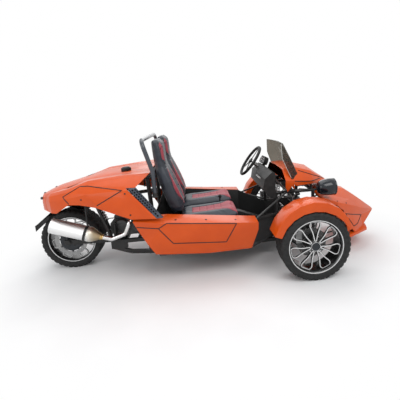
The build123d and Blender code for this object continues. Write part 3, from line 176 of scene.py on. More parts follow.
disc_steel = surface(
    "ground_disc_steel", 0.28, 1.0, (90, 4), (0.24, 0.36),
    rough=((300, 3), 0.34, 0.5), bump=((900, 2), 0.08, 0.0002))
# Darker copy of the disc steel for the front discs, which sit deep inside the wheels behind the spokes:
# painted shade.
shaded_disc_steel = surface(
    "disc_steel_painted_shade", 0.45, 1.0, (90, 4), (0.09, 0.15),
    rough=((300, 3), 0.4, 0.55), bump=((900, 2), 0.08, 0.0002))
cast = surface(
    "cast_alloy", 0.5, 0.9, (35, 5), (0.24, 0.38),
    rough=((90, 4), 0.38, 0.62), bump=((450, 4), 0.35, 0.0006))
engine_cast = surface(
    "dark_engine_casting", 0.5, 0.55, (30, 5), (0.045, 0.095),
    rough=((80, 4), 0.36, 0.6), bump=((380, 4), 0.35, 0.0006))
spring_silver = surface(
    "silver_spring_paint", 0.34, 0.2, (30, 3), (0.62, 0.72),
    rough=((60, 4), 0.22, 0.38),
    Coat_Weight=0.3, Coat_Roughness=0.12)
polished = surface(
    "polished_steel", 0.16, 1.0, (9, 4), [(0.25, (0.66, 0.65, 0.63)), (0.8, (0.82, 0.82, 0.83))],
    rough=((140, 4, (1, 1, 5)), 0.1, 0.26), bump=((700, 2, (1, 1, 6)), 0.05, 0.0002))
vinyl = surface(
    "black_vinyl", 0.48, 0.0, (10, 4), [(0.3, (0.010, 0.014, 0.022)), (0.8, (0.019, 0.025, 0.038))],
    rough=((40, 4), 0.38, 0.58),
    Sheen_Weight=0.03)
grain = vinyl.node("ShaderNodeTexVoronoi", {"Vector": vinyl.coords, "Scale": 620.0})
vinyl.bump(grain.outputs["Distance"], 0.4, 0.0006)
vinyl.bump(vinyl.noise(26, 3), 0.25, 0.002)
red_vinyl = surface(
    "dusky_red_insert", 0.6, 0.0, (14, 4), [(0.3, (0.25, 0.030, 0.045)), (0.8, (0.34, 0.046, 0.064))],
    rough=((50, 3), 0.5, 0.7),
    Sheen_Weight=0.06)
ribs = red_vinyl.node("ShaderNodeTexVoronoi", {"Vector": red_vinyl.coords, "Scale": 420.0})
red_vinyl.bump(ribs.outputs["Distance"], 0.45, 0.0008)
gloss_black = surface(
    "gloss_black_shell", 0.16, 0.0, (25, 3), [(0.3, (0.005, 0.008, 0.012)), (0.8, (0.009, 0.014, 0.021))],
    rough=((60, 3), 0.12, 0.22),
    Coat_Weight=0.3, Coat_Roughness=0.05, Specular_IOR_Level=0.3)
smoked = surface(
    "smoked_screen", 0.06, 0.0, (5, 2), [(0.3, (0.19, 0.17, 0.14)), (0.7, (0.22, 0.20, 0.17))],
    rough=((30, 3), 0.04, 0.09),
    Transmission_Weight=0.9, IOR=1.15, Alpha=1.0)
clear = surface(
    "clear_lens", 0.03, 0.0, (5, 2), [(0.3, shade(0.90)), (0.7, shade(0.96))],
    rough=((40, 2), 0.02, 0.05),
    Transmission_Weight=1.0, IOR=1.45)
red_lens = surface(
    "red_lens", 0.12, 0.0, (30, 2), [(0.3, (0.30, 0.010, 0.008)), (0.7, (0.42, 0.018, 0.012))],
    Transmission_Weight=0.35, IOR=1.45, Coat_Weight=0.4)
red_lens.bump(red_lens.node("ShaderNodeTexChecker", {"Vector": red_lens.coords,
        "Scale": 260.0}).outputs["Fac"], 0.3, 0.0006)
gasket = surface(
    "black_seam_gasket", 0.7, 0.0, (50, 3), (0.006, 0.014),
    bump=((500, 2), 0.2, 0.0003))
carpet = surface(
    "charcoal_carpet", 0.95, 0.0, (260, 4), (0.012, 0.034),
    bump=((1100, 3), 0.8, 0.0015),
    Sheen_Weight=0.3)
vent_black = surface(
    "blue_black_vent", 0.4, 0.0, (30, 4), [(0.3, (0.040, 0.048, 0.068)), (0.8, (0.060, 0.072, 0.098))],
    rough=((60, 3), 0.3, 0.5), bump=((700, 2), 0.15, 0.0003))
can_steel = Mat("brushed_silver_can", 0.3, 1.0)
tint = can_steel.node("ShaderNodeSeparateXYZ", {"Vector": can_steel.coords}).outputs["X"]
warm = can_steel.node("ShaderNodeMapRange", {"Value": tint, "From Min": -1.19,
        "From Max": -1.055}).outputs["Result"]
can_steel.colour(warm, (0.0, shade(0.80)), (0.3, (0.74, 0.70, 0.62)), (0.6, (0.46, 0.38, 0.26)),
                 (1.0, (0.36, 0.25, 0.13)))
can_steel.roughness(can_steel.noise(200, 3, (6, 1, 1)), 0.38, 0.52)
can_steel.bump(can_steel.noise(900, 2, (8, 1, 1)), 0.06, 0.0002)
wheel_silver = surface(
    "turned_wheel_face", 0.4, 0.55, (80, 3), (0.60, 0.74),
    rough=((240, 3), 0.32, 0.46), bump=((900, 2), 0.05, 0.0002))
gold_joint = surface(
    "gold_clamp", 0.3, 1.0, (60, 3), [(0.3, (0.62, 0.42, 0.16)), (0.8, (0.76, 0.55, 0.24))],
    rough=((120, 3), 0.22, 0.38), bump=((700, 2), 0.06, 0.0002))
# Pale grey colour of the screen's edge cord: a painted highlight standing in for the light caught in the
# clear edge.
painted_highlight_edge = surface(
    "screen_edge_painted_highlight", 0.4, 0.0, (40, 3), [(0.3, (0.42, 0.44, 0.42)), (0.8, (0.56, 0.58, 0.56))],
    rough=((90, 3), 0.3, 0.5), bump=((500, 2), 0.1, 0.0003))

MATERIALS = {
    "tyre": rubber, "rim": rim_black, "disc": disc_steel, "cast": cast, "paint": paint, "frame": black_paint,
    "spring": spring_silver, "steel": steel, "tub": laminate, "trim": moulding, "engine": engine_cast,
    "exhaust": polished, "vinyl": vinyl, "hoop": hoop_paint, "rubber": grip, "lamp": gloss_black,
    "screen": smoked, "lens": red_lens,
}
SLOT = {part["node"]: part["material_slot"] for part in frame["record"]["subparts"]}
BODY = {node: body for body, nodes in frame["record"]["behaviour"]["bodies"].items() for node in nodes}
for node, slot in SLOT.items():
    mesh = frame["nodes"][node].data
    mesh.materials.clear()
    mesh.materials.append(MATERIALS[slot].material)


# Mesh helpers
def piece(name, mesh, material, body="chassis", smooth=35, replaces=()):
    """Puts a mesh, or what a function builds, into the scene as a piece that rides on a body."""
    if callable(mesh):
        mesh = mesh_of(name, mesh)
    made = bpy.data.objects.new(name, mesh)
    bpy.context.scene.collection.objects.link(made)
    marks = [face.material_index for face in mesh.polygons]
    mesh.materials.clear()
    for one in material if isinstance(material, (list, tuple)) else [material]:
        mesh.materials.append(one.material)
    mesh.polygons.foreach_set("material_index", marks)
    if smooth is not None:
        for face in mesh.polygons:
            face.use_smooth = True
        mesh.set_sharp_from_angle(angle=math.radians(smooth))
    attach(made, body)
    if replaces:
        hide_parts(*([replaces] if isinstance(replaces, str) else replaces))
    return made


def applied(made, *modifiers):
    """Adds modifiers as (type, settings), applies them and leaves plain mesh."""
    for kind, settings in modifiers:
        modifier = made.modifiers.new(kind.lower(), kind)
        for key, value in settings.items():
            setattr(modifier, key, value)
    graph = bpy.context.evaluated_depsgraph_get()
    mesh = bpy.data.meshes.new_from_object(made.evaluated_get(graph))
    made.modifiers.clear()
    old, made.data = made.data, mesh
    bpy.data.meshes.remove(old)
    return made


def mesh_of(name, build):
    """Mesh filled by a function that adds to a bmesh."""
    work = bmesh.new()
    build(work)
    bmesh.ops.remove_doubles(work, verts=work.verts, dist=1e-6)
    bmesh.ops.recalc_face_normals(work, faces=work.faces)
    mesh = bpy.data.meshes.new(name)
    work.to_mesh(mesh)
    work.free()
    return mesh


def mm(*points):
    """Points given in millimetres, in metres."""
    return [tuple(v / 1000 for v in point) for point in points]


def turned_by(u, v, angle):
    """A flat place turned round the origin."""
    return u * math.cos(angle) - v * math.sin(angle), u * math.sin(angle) + v * math.cos(angle)


def polar(reach, angle, middle=(0.0, 0.0)):
    """The flat place at a reach and an angle from a middle."""
    return middle[0] + reach * math.cos(angle), middle[1] + reach * math.sin(angle)


def bridge(work, a, b):
    """Adds faces between two closed loops of vertices."""
    count = len(a)
    return [work.faces.new((a[i], a[(i + 1) % count], b[(i + 1) % count], b[i])) for i in range(count)]


def along(corners, step, least=1):
    """Points on a polyline, about one step apart."""
    points = []
    for a, b in zip(corners, corners[1:]):
        count = max(least, int((b - a).length / step))
        points += [a + (b - a) * (k / count) for k in range(count)]
    return points + [corners[-1]]


def face_tree(mesh):
    """Search tree of a mesh's faces."""
    return BVHTree.FromPolygons([v.co for v in mesh.vertices], [p.vertices for p in mesh.polygons])


def lathe(work, profile, origin, axis, steps=96, ripple=None):
    """Adds a closed ring: profile holds (offset along the axis, radius)."""
    axis = Vector(axis).normalized()
    side = axis.orthogonal().normalized()
    up = axis.cross(side)
    rows = []
    for step in range(steps):
        angle = 2 * math.pi * step / steps
        radial = side * math.cos(angle) + up * math.sin(angle)
        row = []
        for index, (offset, radius) in enumerate(profile):
            if ripple:
                radius = ripple(step, index, offset, radius)
            row.append(work.verts.new(Vector(origin) + axis * offset + radial * radius))
        rows.append(row)
    for step in range(steps):
        bridge(work, rows[step], rows[(step + 1) % steps])


def turned(name, profile, origin, axis, steps, material, body="chassis", smooth=35, replaces=()):
    """A piece that is one closed ring."""
    def ring(w):
        lathe(w, profile, origin, axis, steps)

    return piece(name, ring, material, body, smooth, replaces)


def tube(work, points, radius, sides=10, closed=False):
    """Adds a round tube along points, with caps unless it is closed."""
    points = [Vector(p) for p in points]
    count = len(points)
    rings, normal = [], None
    for i, point in enumerate(points):
        before = points[i - 1] if i or closed else points[i]
        after = points[(i + 1) % count] if i < count - 1 or closed else points[i]
        tangent = (after - before).normalized()
        if normal is None:
            normal = tangent.orthogonal().normalized()
        normal = (normal - tangent * normal.dot(tangent)).normalized()
        other = tangent.cross(normal)
        rings.append([
            work.verts.new(point + (normal * math.cos(t) + other * math.sin(t)) * radius)
            for t in (2 * math.pi * k / sides for k in range(sides))
        ])
    for i in range(count if closed else count - 1):
        a, b = rings[i], rings[(i + 1) % count]
        turn = 0
        if closed and i == count - 1:
            turn = min(range(sides), key=lambda s: (a[0].co - b[s].co).length)
        for k in range(sides):
            work.faces.new((a[k], a[(k + 1) % sides], b[(k + 1 + turn) % sides], b[(k + turn) % sides]))
    if not closed:
        work.faces.new(rings[0][::-1])
        work.faces.new(rings[-1])


def prism(work, outline, normal, depth):
    """Adds a prism from a flat closed outline of points, pushed along a normal."""
    low = [work.verts.new(Vector(p)) for p in outline]
    high = [work.verts.new(Vector(p) + Vector(normal) * depth) for p in outline]
    work.faces.new(low)
    work.faces.new(high[::-1])
    for i in range(len(low)):
        j = (i + 1) % len(low)
        work.faces.new((low[j], low[i], high[i], high[j]))


def bolt(work, place, axis, radius=0.006, height=0.004):
    """Adds a six-sided bolt head on a round flange."""
    axis = Vector(axis).normalized()
    lathe(work, [(-0.001, 0.0002), (-0.001, radius * 1.35), (height * 0.35, radius * 1.35),
                 (height * 0.35, 0.0002)],
          place, axis, 16)
    lathe(work, [(height * 0.3, 0.0002), (height * 0.3, radius), (height * 0.85, radius),
                 (height, radius * 0.85),
                 (height, radius * 0.5), (height * 0.6, radius * 0.4), (height * 0.6, 0.0002)], place,
                 axis, 6)


def bolt_ring(work, centre, across, up, reach, count, axis, radius, height, first=0.0):
    """Adds bolts evenly round a centre in the plane of two directions."""
    for step in range(count):
        angle = 2 * math.pi * (step + first) / count
        u, v = polar(reach, angle)
        bolt(work, Vector(centre) + Vector(across) * u + Vector(up) * v, axis, radius, height)


def softened(node, width, angle=12, sharp=25):
    """A copy of a CAD node with rounded edges, shown in its place."""
    mesh = frame["nodes"][node].data.copy()
    work = bmesh.new()
    work.from_mesh(mesh)
    bmesh.ops.remove_doubles(work, verts=work.verts, dist=2e-5)
    bmesh.ops.dissolve_limit(work, angle_limit=math.radians(0.6), verts=work.verts, edges=work.edges)
    work.to_mesh(mesh)
    work.free()
    made = piece("skin_" + node, mesh, MATERIALS[SLOT[node]], BODY[node], None, node)
    applied(made, ("BEVEL", {"width": width, "segments": 2, "limit_method": "ANGLE",
                             "angle_limit": math.radians(angle), "harden_normals": False}))
    for face in made.data.polygons:
        face.use_smooth = True
    made.data.set_sharp_from_angle(angle=math.radians(sharp))
    return made


# Camera as fitted to the photograph
yaw, pitch, roll = (math.radians(v) for v in (3.815, 10.728, 4.089))
ahead = Vector((math.sin(yaw) * math.cos(pitch), math.cos(yaw) * math.cos(pitch), -math.sin(pitch)))
level = Vector((math.cos(yaw), -math.sin(yaw), 0))
below = ahead.cross(level)
right = level * math.cos(roll) + below * math.sin(roll)
down = below * math.cos(roll) - level * math.sin(roll)
camera = bpy.data.objects.new("camera", bpy.data.cameras.new("camera"))
camera.matrix_world = Matrix((
    (right.x, -down.x, -ahead.x, -0.116),
    (right.y, -down.y, -ahead.y, -3.312),
    (right.z, -down.z, -ahead.z, 1.445),
    (0, 0, 0, 1),
))
camera.data.sensor_width = 36
camera.data.lens = 29.34
camera.data.shift_x = -0.0456
camera.data.shift_y = -0.0626
bpy.context.scene.collection.objects.link(camera)
bpy.context.scene.camera = camera
bpy.context.scene.view_settings.view_transform = "Standard"


# Floor, backdrop light and lamps
def seen(tree):
    """Value that is 1 for camera, glossy and transmission rays."""
    path = tree.nodes.new("ShaderNodeLightPath")
    value = path.outputs["Is Camera Ray"]
    for name in ("Is Glossy Ray", "Is Transmission Ray"):
        most = tree.nodes.new("ShaderNodeMath")
        most.operation = "MAXIMUM"
        tree.links.new(value, most.inputs[0])
        tree.links.new(path.outputs[name], most.inputs[1])
        value = most.outputs[0]
    return value


floor_mat = Mat("pale_floor", 0.9)
floor_mat.colour(floor_mat.noise(2, 2), (0.3, shade(0.80)), (0.7, shade(0.84)))
reach = floor_mat.node("ShaderNodeVectorMath", {0: floor_mat.stretched((0.78, 1.0, 1.0))},
        operation="LENGTH")
fade = floor_mat.node("ShaderNodeMapRange", {
    "Value": reach.outputs["Value"], "From Min": 1.2, "From Max": 2.0}, interpolation_type="SMOOTHSTEP")
share = floor_mat.node("ShaderNodeMath", {0: fade.outputs["Result"], 1: seen(floor_mat.tree)},
        operation="MULTIPLY")
glow = floor_mat.node("ShaderNodeEmission", {"Color": (1, 1, 1, 1), "Strength": 1.0})
blend = floor_mat.node("ShaderNodeMixShader", {
    0: share.outputs[0], 1: floor_mat.shader.outputs[0], 2: glow.outputs[0]})
floor_mat.tree.links.new(blend.outputs[0], floor_mat.tree.nodes["Material Output"].inputs["Surface"])
floor = bpy.data.objects.new("floor", mesh_of("floor", lambda w: bmesh.ops.create_circle(
    w, cap_ends=True, segments=64, radius=14)))
floor.data.materials.append(floor_mat.material)
bpy.context.scene.collection.objects.link(floor)

world = bpy.data.worlds.new("studio")
bpy.context.scene.world = world
world.use_nodes = True
tree = world.node_tree
background = tree.nodes["Background"]
background.inputs["Color"].default_value = (0.95, 0.97, 1.0, 1)
background.inputs["Strength"].default_value = 0.55
white = tree.nodes.new("ShaderNodeBackground")
white.inputs["Color"].default_value = (1, 1, 1, 1)
white.inputs["Strength"].default_value = 1.0
mix = tree.nodes.new("ShaderNodeMixShader")
tree.links.new(seen(tree), mix.inputs["Fac"])
tree.links.new(background.outputs[0], mix.inputs[1])
tree.links.new(white.outputs[0], mix.inputs[2])
tree.links.new(mix.outputs[0], tree.nodes["World Output"].inputs["Surface"])


def lamp(name, place, target, size, power):
    """Adds a soft rectangular light that looks at a target."""
    data = bpy.data.lights.new(name, "AREA")
    data.shape = "RECTANGLE"
    data.size, data.size_y = size
    data.energy = power
    made = bpy.data.objects.new(name, data)
    made.location = place
    made.rotation_euler = (Vector(target) - Vector(place)).to_track_quat("-Z", "Y").to_euler()
    bpy.context.scene.collection.objects.link(made)


lamp("key", (1.6, -3.6, 4.2), (0, 0, 0.5), (3.5, 2.5), 118)
lamp("top", (-0.4, 0.6, 4.8), (0, 0, 0.4), (5.0, 3.5), 100)
lamp("fill", (-3.8, -3.0, 2.2), (-0.3, 0, 0.5), (3.0, 2.2), 46)
lamp("back", (0.5, 4.4, 3.2), (0, 0, 0.5), (4.5, 2.5), 56)

# Bevelled stand-ins of the painted panels and mouldings
for node in ("sill_right", "sill_left", "engine_deck", "tail_flank_right", "tail_flank_left", "nose",
             "hood"):
    softened(node, 0.0035)
for node in ("fender_front_right", "fender_front_left"):
    softened(node, 0.0035, angle=30, sharp=30)
for node in ("dash", "console", "rear_mudguard", "deck_cap", "tail_lamp", "floor_tub"):
    softened(node, 0.003, angle=20)


# Tyres: carcass with ribs, grooves, sipes and sidewall rings
def tyre(name, node, body, x, y, width):
    """A tyre with a grooved tread and stepped sidewalls in place of its plain ring."""
    half = width / 2
    edge = half - 0.014
    grooves = (-0.62, -0.2, 0.2, 0.62)
    section = []
    for centre in grooves:
        middle, reach, deep = centre * edge, 0.0045, 0.0065
        section += [(middle - reach - 0.0012, 0, 1), (middle - reach, -deep, 0), (middle + reach, -deep, 0),
                    (middle + reach + 0.0012, 0, 1)]
    tread = [(-edge, -0.0004, 2)] + section + [(edge, -0.0004, 2)]
    bead = 0.095 - 0.0003
    bulge = (TYRE_R + FLANGE_R) / 2
    walls = [
        (half - 0.007, TYRE_R - 0.0075, 2), (half - 0.0035, TYRE_R - 0.0145, 0),
        (half - 0.0012, TYRE_R - 0.021, 0), (half - 0.0006, bulge + 0.008, 0),
        (half - 0.0022, bulge + 0.006, 0), (half - 0.0022, bulge + 0.003, 0),
        (half - 0.0004, bulge, 0), (half - 0.0020, bulge - 0.012, 0),
        (half - 0.0012, bulge - 0.0135, 0), (half - 0.0030, bulge - 0.018, 0),
        (bead + 0.0065, FLANGE_R + 0.0105, 0), (bead + 0.0072, FLANGE_R + 0.0075, 0),
        (bead + 0.0035, FLANGE_R + 0.004, 0), (bead, FLANGE_R + 0.0004, 0),
    ]
    profile = [(o, TYRE_R + d, t) for o, d, t in tread] + walls
    profile += [(-o, r, t) for o, r, t in reversed(walls)]
    tags = [t for _, _, t in profile]

    def sipe(step, index, offset, radius):
        if tags[index] == 2 and step % 6 in (0, 1):
            return radius - 0.0055
        if tags[index] == 1 and abs(offset) > 0.3 * edge and step % 6 == 3:
            return radius - 0.0035
        return radius

    piece(name, lambda w: lathe(w, [(o, r) for o, r, _ in profile], (x, y, AXLE_Z), (0, 1, 0), 216, sipe),
          rubber, body, 32, node)


tyre("tyre_front_right_tread", "tyre_front_right", "front_wheel_right", FRONT_X, -TRACK_Y, 0.205)
tyre("tyre_front_left_tread", "tyre_front_left", "front_wheel_left", FRONT_X, TRACK_Y, 0.205)
tyre("tyre_rear_tread", "tyre_rear", "rear_wheel", REAR_X, 0.0, 0.215)

# Alloy wheels: petal loops with machined edges, lip, nuts, cap and valve
PETALS = 7
LOOP = [(-11, 42), (11, 42), (26, 114), (53, 182), (41, 216), (-41, 216), (-53, 182), (-26, 114)]


def inset(outline, gap):
    """A closed convex-ish outline moved inwards by one gap."""
    lines, out = [], []
    count = len(outline)
    for i in range(count):
        a, b = Vector(outline[i]), Vector(outline[(i + 1) % count])
        edge = (b - a).normalized()
        lines.append((a + Vector((-edge.y, edge.x)) * gap, edge))
    for i in range(count):
        (p, u), (q, v) = lines[i - 1], lines[i]
        cross = u.x * v.y - u.y * v.x
        d = q - p
        out.append(tuple(p + u * ((d.x * v.y - d.y * v.x) / cross)))
    return out


def smooth_loop(outline, corner, steps=4):
    """Closed outline with rounded corners."""
    out, count = [], len(outline)
    for i in range(count):
        a, b, c = (Vector(outline[(i + k) % count]) for k in (-1, 0, 1))
        reach = min(corner, (a - b).length * 0.45, (c - b).length * 0.45)
        start, end = b + (a - b).normalized() * reach, b + (c - b).normalized() * reach
        for k in range(steps + 1):
            t = k / steps
            out.append(tuple(start * (1 - t) ** 2 + b * 2 * t * (1 - t) + end * t ** 2))
    return out


def wheel_looks(tag, node, body, x, y, side, face):
    """Front face of one wheel at offset face from its middle, looking along side."""
    def place(u, v, out, angle):
        cu, cv = turned_by(u, v, angle)
        return Vector((x - side * cu, y + side * out, AXLE_Z + cv))

    outer = smooth_loop(mm(*LOOP), 0.018)
    inner = smooth_loop(mm(*inset(LOOP, 11)), 0.012)

    def spokes(w):
        count = len(outer)
        for turn in range(PETALS):
            angle = turn * 2 * math.pi / PETALS
            deep = face - 0.020
            sections = []
            for i in range(count):
                o, n = Vector(outer[i]), Vector(inner[i])
                across = n - o
                fall = 0.006 * max(0, (o.length - 0.12) / 0.1) ** 2
                ring = [
                    (o, deep), (o, face - 0.0035), (o + across * 0.16, face - 0.0008 - fall),
                    (o + across * 0.5, face - 0.0002 - fall),
                    (o + across * 0.84, face - 0.0008 - fall), (n, face - 0.0035), (n, deep),
                ]
                sections.append([w.verts.new(place(p.x, p.y, out, angle)) for p, out in ring])
            for i in range(count):
                for k, quad in enumerate(bridge(w, sections[i], sections[(i + 1) % count])):
                    quad.material_index = int(k in (2, 3))

    piece(f"spokes_{tag}", spokes, [rim_black, wheel_silver], body, 35, node)

    def barrel(w):
        lathe(w, [
            (-0.095, FLANGE_R), (-0.090, FLANGE_R), (-0.088, 0.2265), (-0.079, 0.2215),
            (0.079, 0.2215), (0.088, 0.2265), (0.090, FLANGE_R), (0.0945, FLANGE_R),
            (0.0945, 0.2265), (0.0905, 0.2225), (0.079, 0.2150), (0.060, 0.2125),
            (-0.060, 0.2125), (-0.079, 0.2150), (-0.0905, 0.2225), (-0.095, 0.2265),
        ], (x, y, AXLE_Z), (0, side, 0), 128)

    piece(f"rim_barrel_{tag}", barrel, rim_black, body, 30, ())

    def lip(w):
        lathe(w, mm((90, 223.7), (94.9, 226.2), (95.2, 232.8), (93.8, 233.3), (93.6, 227), (89.6, 224.5)),
              (x, y, AXLE_Z), (0, side, 0), 128)
        lathe(w, [(face - 0.0005, 0.0365), (face + 0.0072, 0.0365), (face + 0.0078, 0.0378),
                  (face + 0.0072, 0.0392), (face - 0.0005, 0.0392)],
              (x, y, AXLE_Z), (0, side, 0), 64)

    piece(f"rim_lip_{tag}", lip, wheel_silver, body, 35, ())

    def centre(w):
        lathe(w, [(face - 0.030, 0.040), (face - 0.012, 0.052), (face - 0.0030, 0.053),
                  (face - 0.0012, 0.0505), (face - 0.0016, 0.045), (face - 0.0040, 0.043),
                  (face - 0.0040, 0.018), (face - 0.030, 0.018)],
              (x, y, AXLE_Z), (0, side, 0), 72)
        for step in range(14):
            angle = (step + 0.5) * 2 * math.pi / 14
            a, b = place(0, 0.046, face - 0.016, angle), place(0, 0.078, face - 0.020, angle)
            tube(w, [a, b], 0.006, 8)

    piece(f"hub_front_{tag}", centre, rim_black, body, 35, ())

    def cap(w):
        lathe(w, [(face - 0.002, 0.0005), (face - 0.002, 0.0362), (face + 0.0052, 0.0362),
                  (face + 0.0066, 0.0345), (face + 0.0058, 0.030), (face + 0.0058, 0.0005)],
              (x, y, AXLE_Z), (0, side, 0), 64)

    piece(f"hub_cap_{tag}", cap, gloss_black, body, 35, ())

    def nuts(w):
        for step in range(4):
            angle = (step + 0.5) * 2 * math.pi / 4
            at = place(0, 0.0605, face - 0.024, angle)
            lathe(w, mm((0, 0.3), (0, 9.2), (13, 9.2), (15.5, 7.8), (15.5, 0.3)), at, (0, side, 0), 6)
            lathe(w, mm((-3, 0.3), (-3, 11.5), (1, 10.5), (1, 0.3)), at, (0, side, 0), 20)
        stem = place(0.030, 0.205, face - 0.040, 0.45)
        tube(w, [stem, stem + Vector((0, side * 0.018, 0))], 0.0035, 8)

    piece(f"wheel_nuts_{tag}", nuts, steel, body, 35, ())


wheel_looks("front_right", "wheel_front_right", "front_wheel_right", FRONT_X, -TRACK_Y, -1, FACE)
wheel_looks("front_left", "wheel_front_left", "front_wheel_left", FRONT_X, TRACK_Y, 1, FACE)


# Flat plates with holes
def ring_loop(radius, steps, middle=(0.0, 0.0), wave=0.0, waves=0, turn=0.0):
    """Closed loop of points round a middle, with an optional wave on its radius."""
    loop = []
    for step in range(steps):
        angle = turn + 2 * math.pi * step / steps
        reach = radius + wave * math.cos(waves * angle)
        loop.append(polar(reach, angle, middle))
    return loop


def plate(work, outer, holes, at, thick):
    """Adds a flat plate with holes: at(u, v, depth) places each point of the closed loops."""
    layers = []
    for depth in (0, thick):
        edges, rings = [], []
        for loop in (outer, *holes):
            ring = [work.verts.new(at(u, v, depth)) for u, v in loop]
            edges += [work.edges.new((ring[i - 1], ring[i])) for i in range(len(ring))]
            rings.append(ring)
        bmesh.ops.triangle_fill(work, edges=edges, use_beauty=True)
        layers.append(rings)
    for low, high in zip(*layers):
        for i in range(len(low)):
            work.faces.new((low[i - 1], low[i], high[i], high[i - 1]))


# Brake discs: scalloped, drilled rings on black carriers
def brake_disc(tag, node, body, place, side, inner, outer, back, thick, waves, arms, hub):
    """A scalloped, drilled ring with pins on a carrier of several arms."""
    x, y = place

    def at(u, v, depth):
        return Vector((x + u, y + side * (back + depth), AXLE_Z + v))

    middle, band = (inner + outer) / 2, (outer - inner) / 2
    holes = [ring_loop(inner, 72, wave=-0.0015, waves=waves)]
    for step in range(waves * 3):
        angle = 2 * math.pi * step / (waves * 3)
        reach = middle + band * (0.5, -0.05, -0.55)[step % 3]
        size = 0.0034 if band < 0.025 else 0.0040
        holes.append(ring_loop(size, 8, polar(reach, angle)))
    # The front discs take the darker copy of the disc steel: painted shade inside the wheels.
    piece(f"brake_disc_{tag}", lambda w: plate(
        w, ring_loop(outer - 0.0016, 144, wave=0.0016, waves=waves), holes, at, thick),
        (disc_steel if tag == "rear" else shaded_disc_steel), body, 30, node)

    def carrier(w):
        for step in range(arms):
            angle = 2 * math.pi * (step + 0.5) / arms
            loop = [(hub, -0.011), (inner + 0.006, -0.008), (inner + 0.006, 0.008), (hub, 0.011)]
            spun = [turned_by(u, v, angle) for u, v in loop]
            prism(w, [at(u, v, -0.001) for u, v in spun], (0, side, 0), thick * 0.9)
            pin = at(*polar(inner + 0.002, angle), -0.002)
            lathe(w, [(0, 0.0004), (0, 0.005), (thick + 0.004, 0.005), (thick + 0.004, 0.0004)], pin,
                  (0, side, 0), 12)

    piece(f"disc_carrier_{tag}", carrier, black_paint, body, 35, ())


for tag, y, side in (("front_right", -TRACK_Y, -1), ("front_left", TRACK_Y, 1)):
    brake_disc(tag, "disc_" + tag, "front_wheel_" + tag[6:], (FRONT_X, y), side, 0.078, 0.130, -0.029,
               0.005, 18, 9, 0.050)
    turned("disc_bell_" + tag, mm((-25, 70), (-12, 70), (-8, 66), (-8, 25.5), (-13, 25.5), (-13, 62),
            (-25, 64)), (FRONT_X, y, AXLE_Z), (0, side, 0), 48, black_paint, "front_wheel_" + tag[6:], 35,
            ())
brake_disc("rear", "disc_rear", "rear_wheel", (REAR_X, 0), -1, 0.118, 0.160, 0.104, 0.005, 20, 6, 0.053)

# Rear wheel: petals without nuts, a stepped hub and toothed sprockets
wheel_looks("rear", "wheel_rear", "rear_wheel", REAR_X, 0.0, -1, 0.062)
turned("rear_hub", mm((-111.8, 26.2), (-111.8, 46), (-108, 51.5), (-60, 51.5), (-56, 48), (30, 48),
        (36, 51.5), (98, 51.5), (103.5, 49), (105.5, 44), (105.5, 26.2)), (REAR_X, 0, AXLE_Z), (0, -1, 0),
        64, rim_black, "rear_wheel", 35, ())


def sprocket(name, node, body, x, z, root, tip, teeth, near, far, hub, windows):
    """A toothed plate with round windows and bolts."""
    outline = []
    for tooth in range(teeth):
        for part, reach in ((0, root), (0.28, root), (0.42, tip), (0.58, tip), (0.72, root)):
            angle = 2 * math.pi * (tooth + part) / teeth
            outline.append(polar(reach, angle))
    holes = [ring_loop(hub, 32)] if hub else []
    for step in range(windows):
        angle = 2 * math.pi * step / windows
        holes.append(ring_loop((root - hub) * 0.27, 16, polar((root + hub) * 0.52, angle)))

    def build(w):
        plate(w, outline, holes, lambda u, v, depth: Vector((x + u, near + depth, z + v)), far - near)
        bolt_ring(w, (x, far, z), ALONG, ABOVE, hub + 0.012, windows, (0, 1, 0), 0.0055, 0.005, 0.5)

    piece(name, build, steel, body, 30, node)


sprocket("sprocket_rear_teeth", "rear_sprocket", "rear_wheel", REAR_X, AXLE_Z, 0.0985, 0.1055, 45, 0.1187,
         0.1253, 0.030, 6)
sprocket("sprocket_front_teeth", "front_sprocket", "chassis", SPROCKET_X, SPROCKET_Z, 0.0330, 0.0395, 17,
         0.1187, 0.1253, 0.010, 0)
turned("sprocket_carrier", mm((112, 26.2), (112, 52), (118.4, 70), (118.6, 26.2)), (REAR_X, 0, AXLE_Z),
       (0, 1, 0), 48, rim_black, "rear_wheel", 35, ())


# Drive chain: side plates and rollers along the loop
def chain_path(grow):
    """The closed line round both sprockets, moved outwards by grow."""
    big, small = 0.104, 0.038
    run, rise = SPROCKET_X - REAR_X, SPROCKET_Z - AXLE_Z
    heading = math.atan2(rise, run)
    lean = math.acos((big - small) / math.hypot(run, rise))
    points = []
    for x, z, radius, start, sweep in ((REAR_X, AXLE_Z, big, heading + lean, 2 * (math.pi - lean)),
                                       (SPROCKET_X, SPROCKET_Z, small, heading - lean, 2 * lean)):
        for step in range(41):
            angle = start + sweep * step / 40
            u, v = polar(radius + grow, angle, (x, z))
            points.append(Vector((u, 0, v)))
    return points


def along_loop(points, count):
    """Evenly spaced points round a closed line."""
    lengths = [(points[i] - points[i - 1]).length for i in range(len(points))]
    total, out, walked, i = sum(lengths), [], 0.0, 1
    for step in range(count):
        target = total * step / count
        while walked + lengths[i % len(points)] < target:
            walked += lengths[i % len(points)]
            i += 1
        a, b = points[(i - 1) % len(points)], points[i % len(points)]
        out.append(a + (b - a) * ((target - walked) / max(lengths[i % len(points)], 1e-9)))
    return out


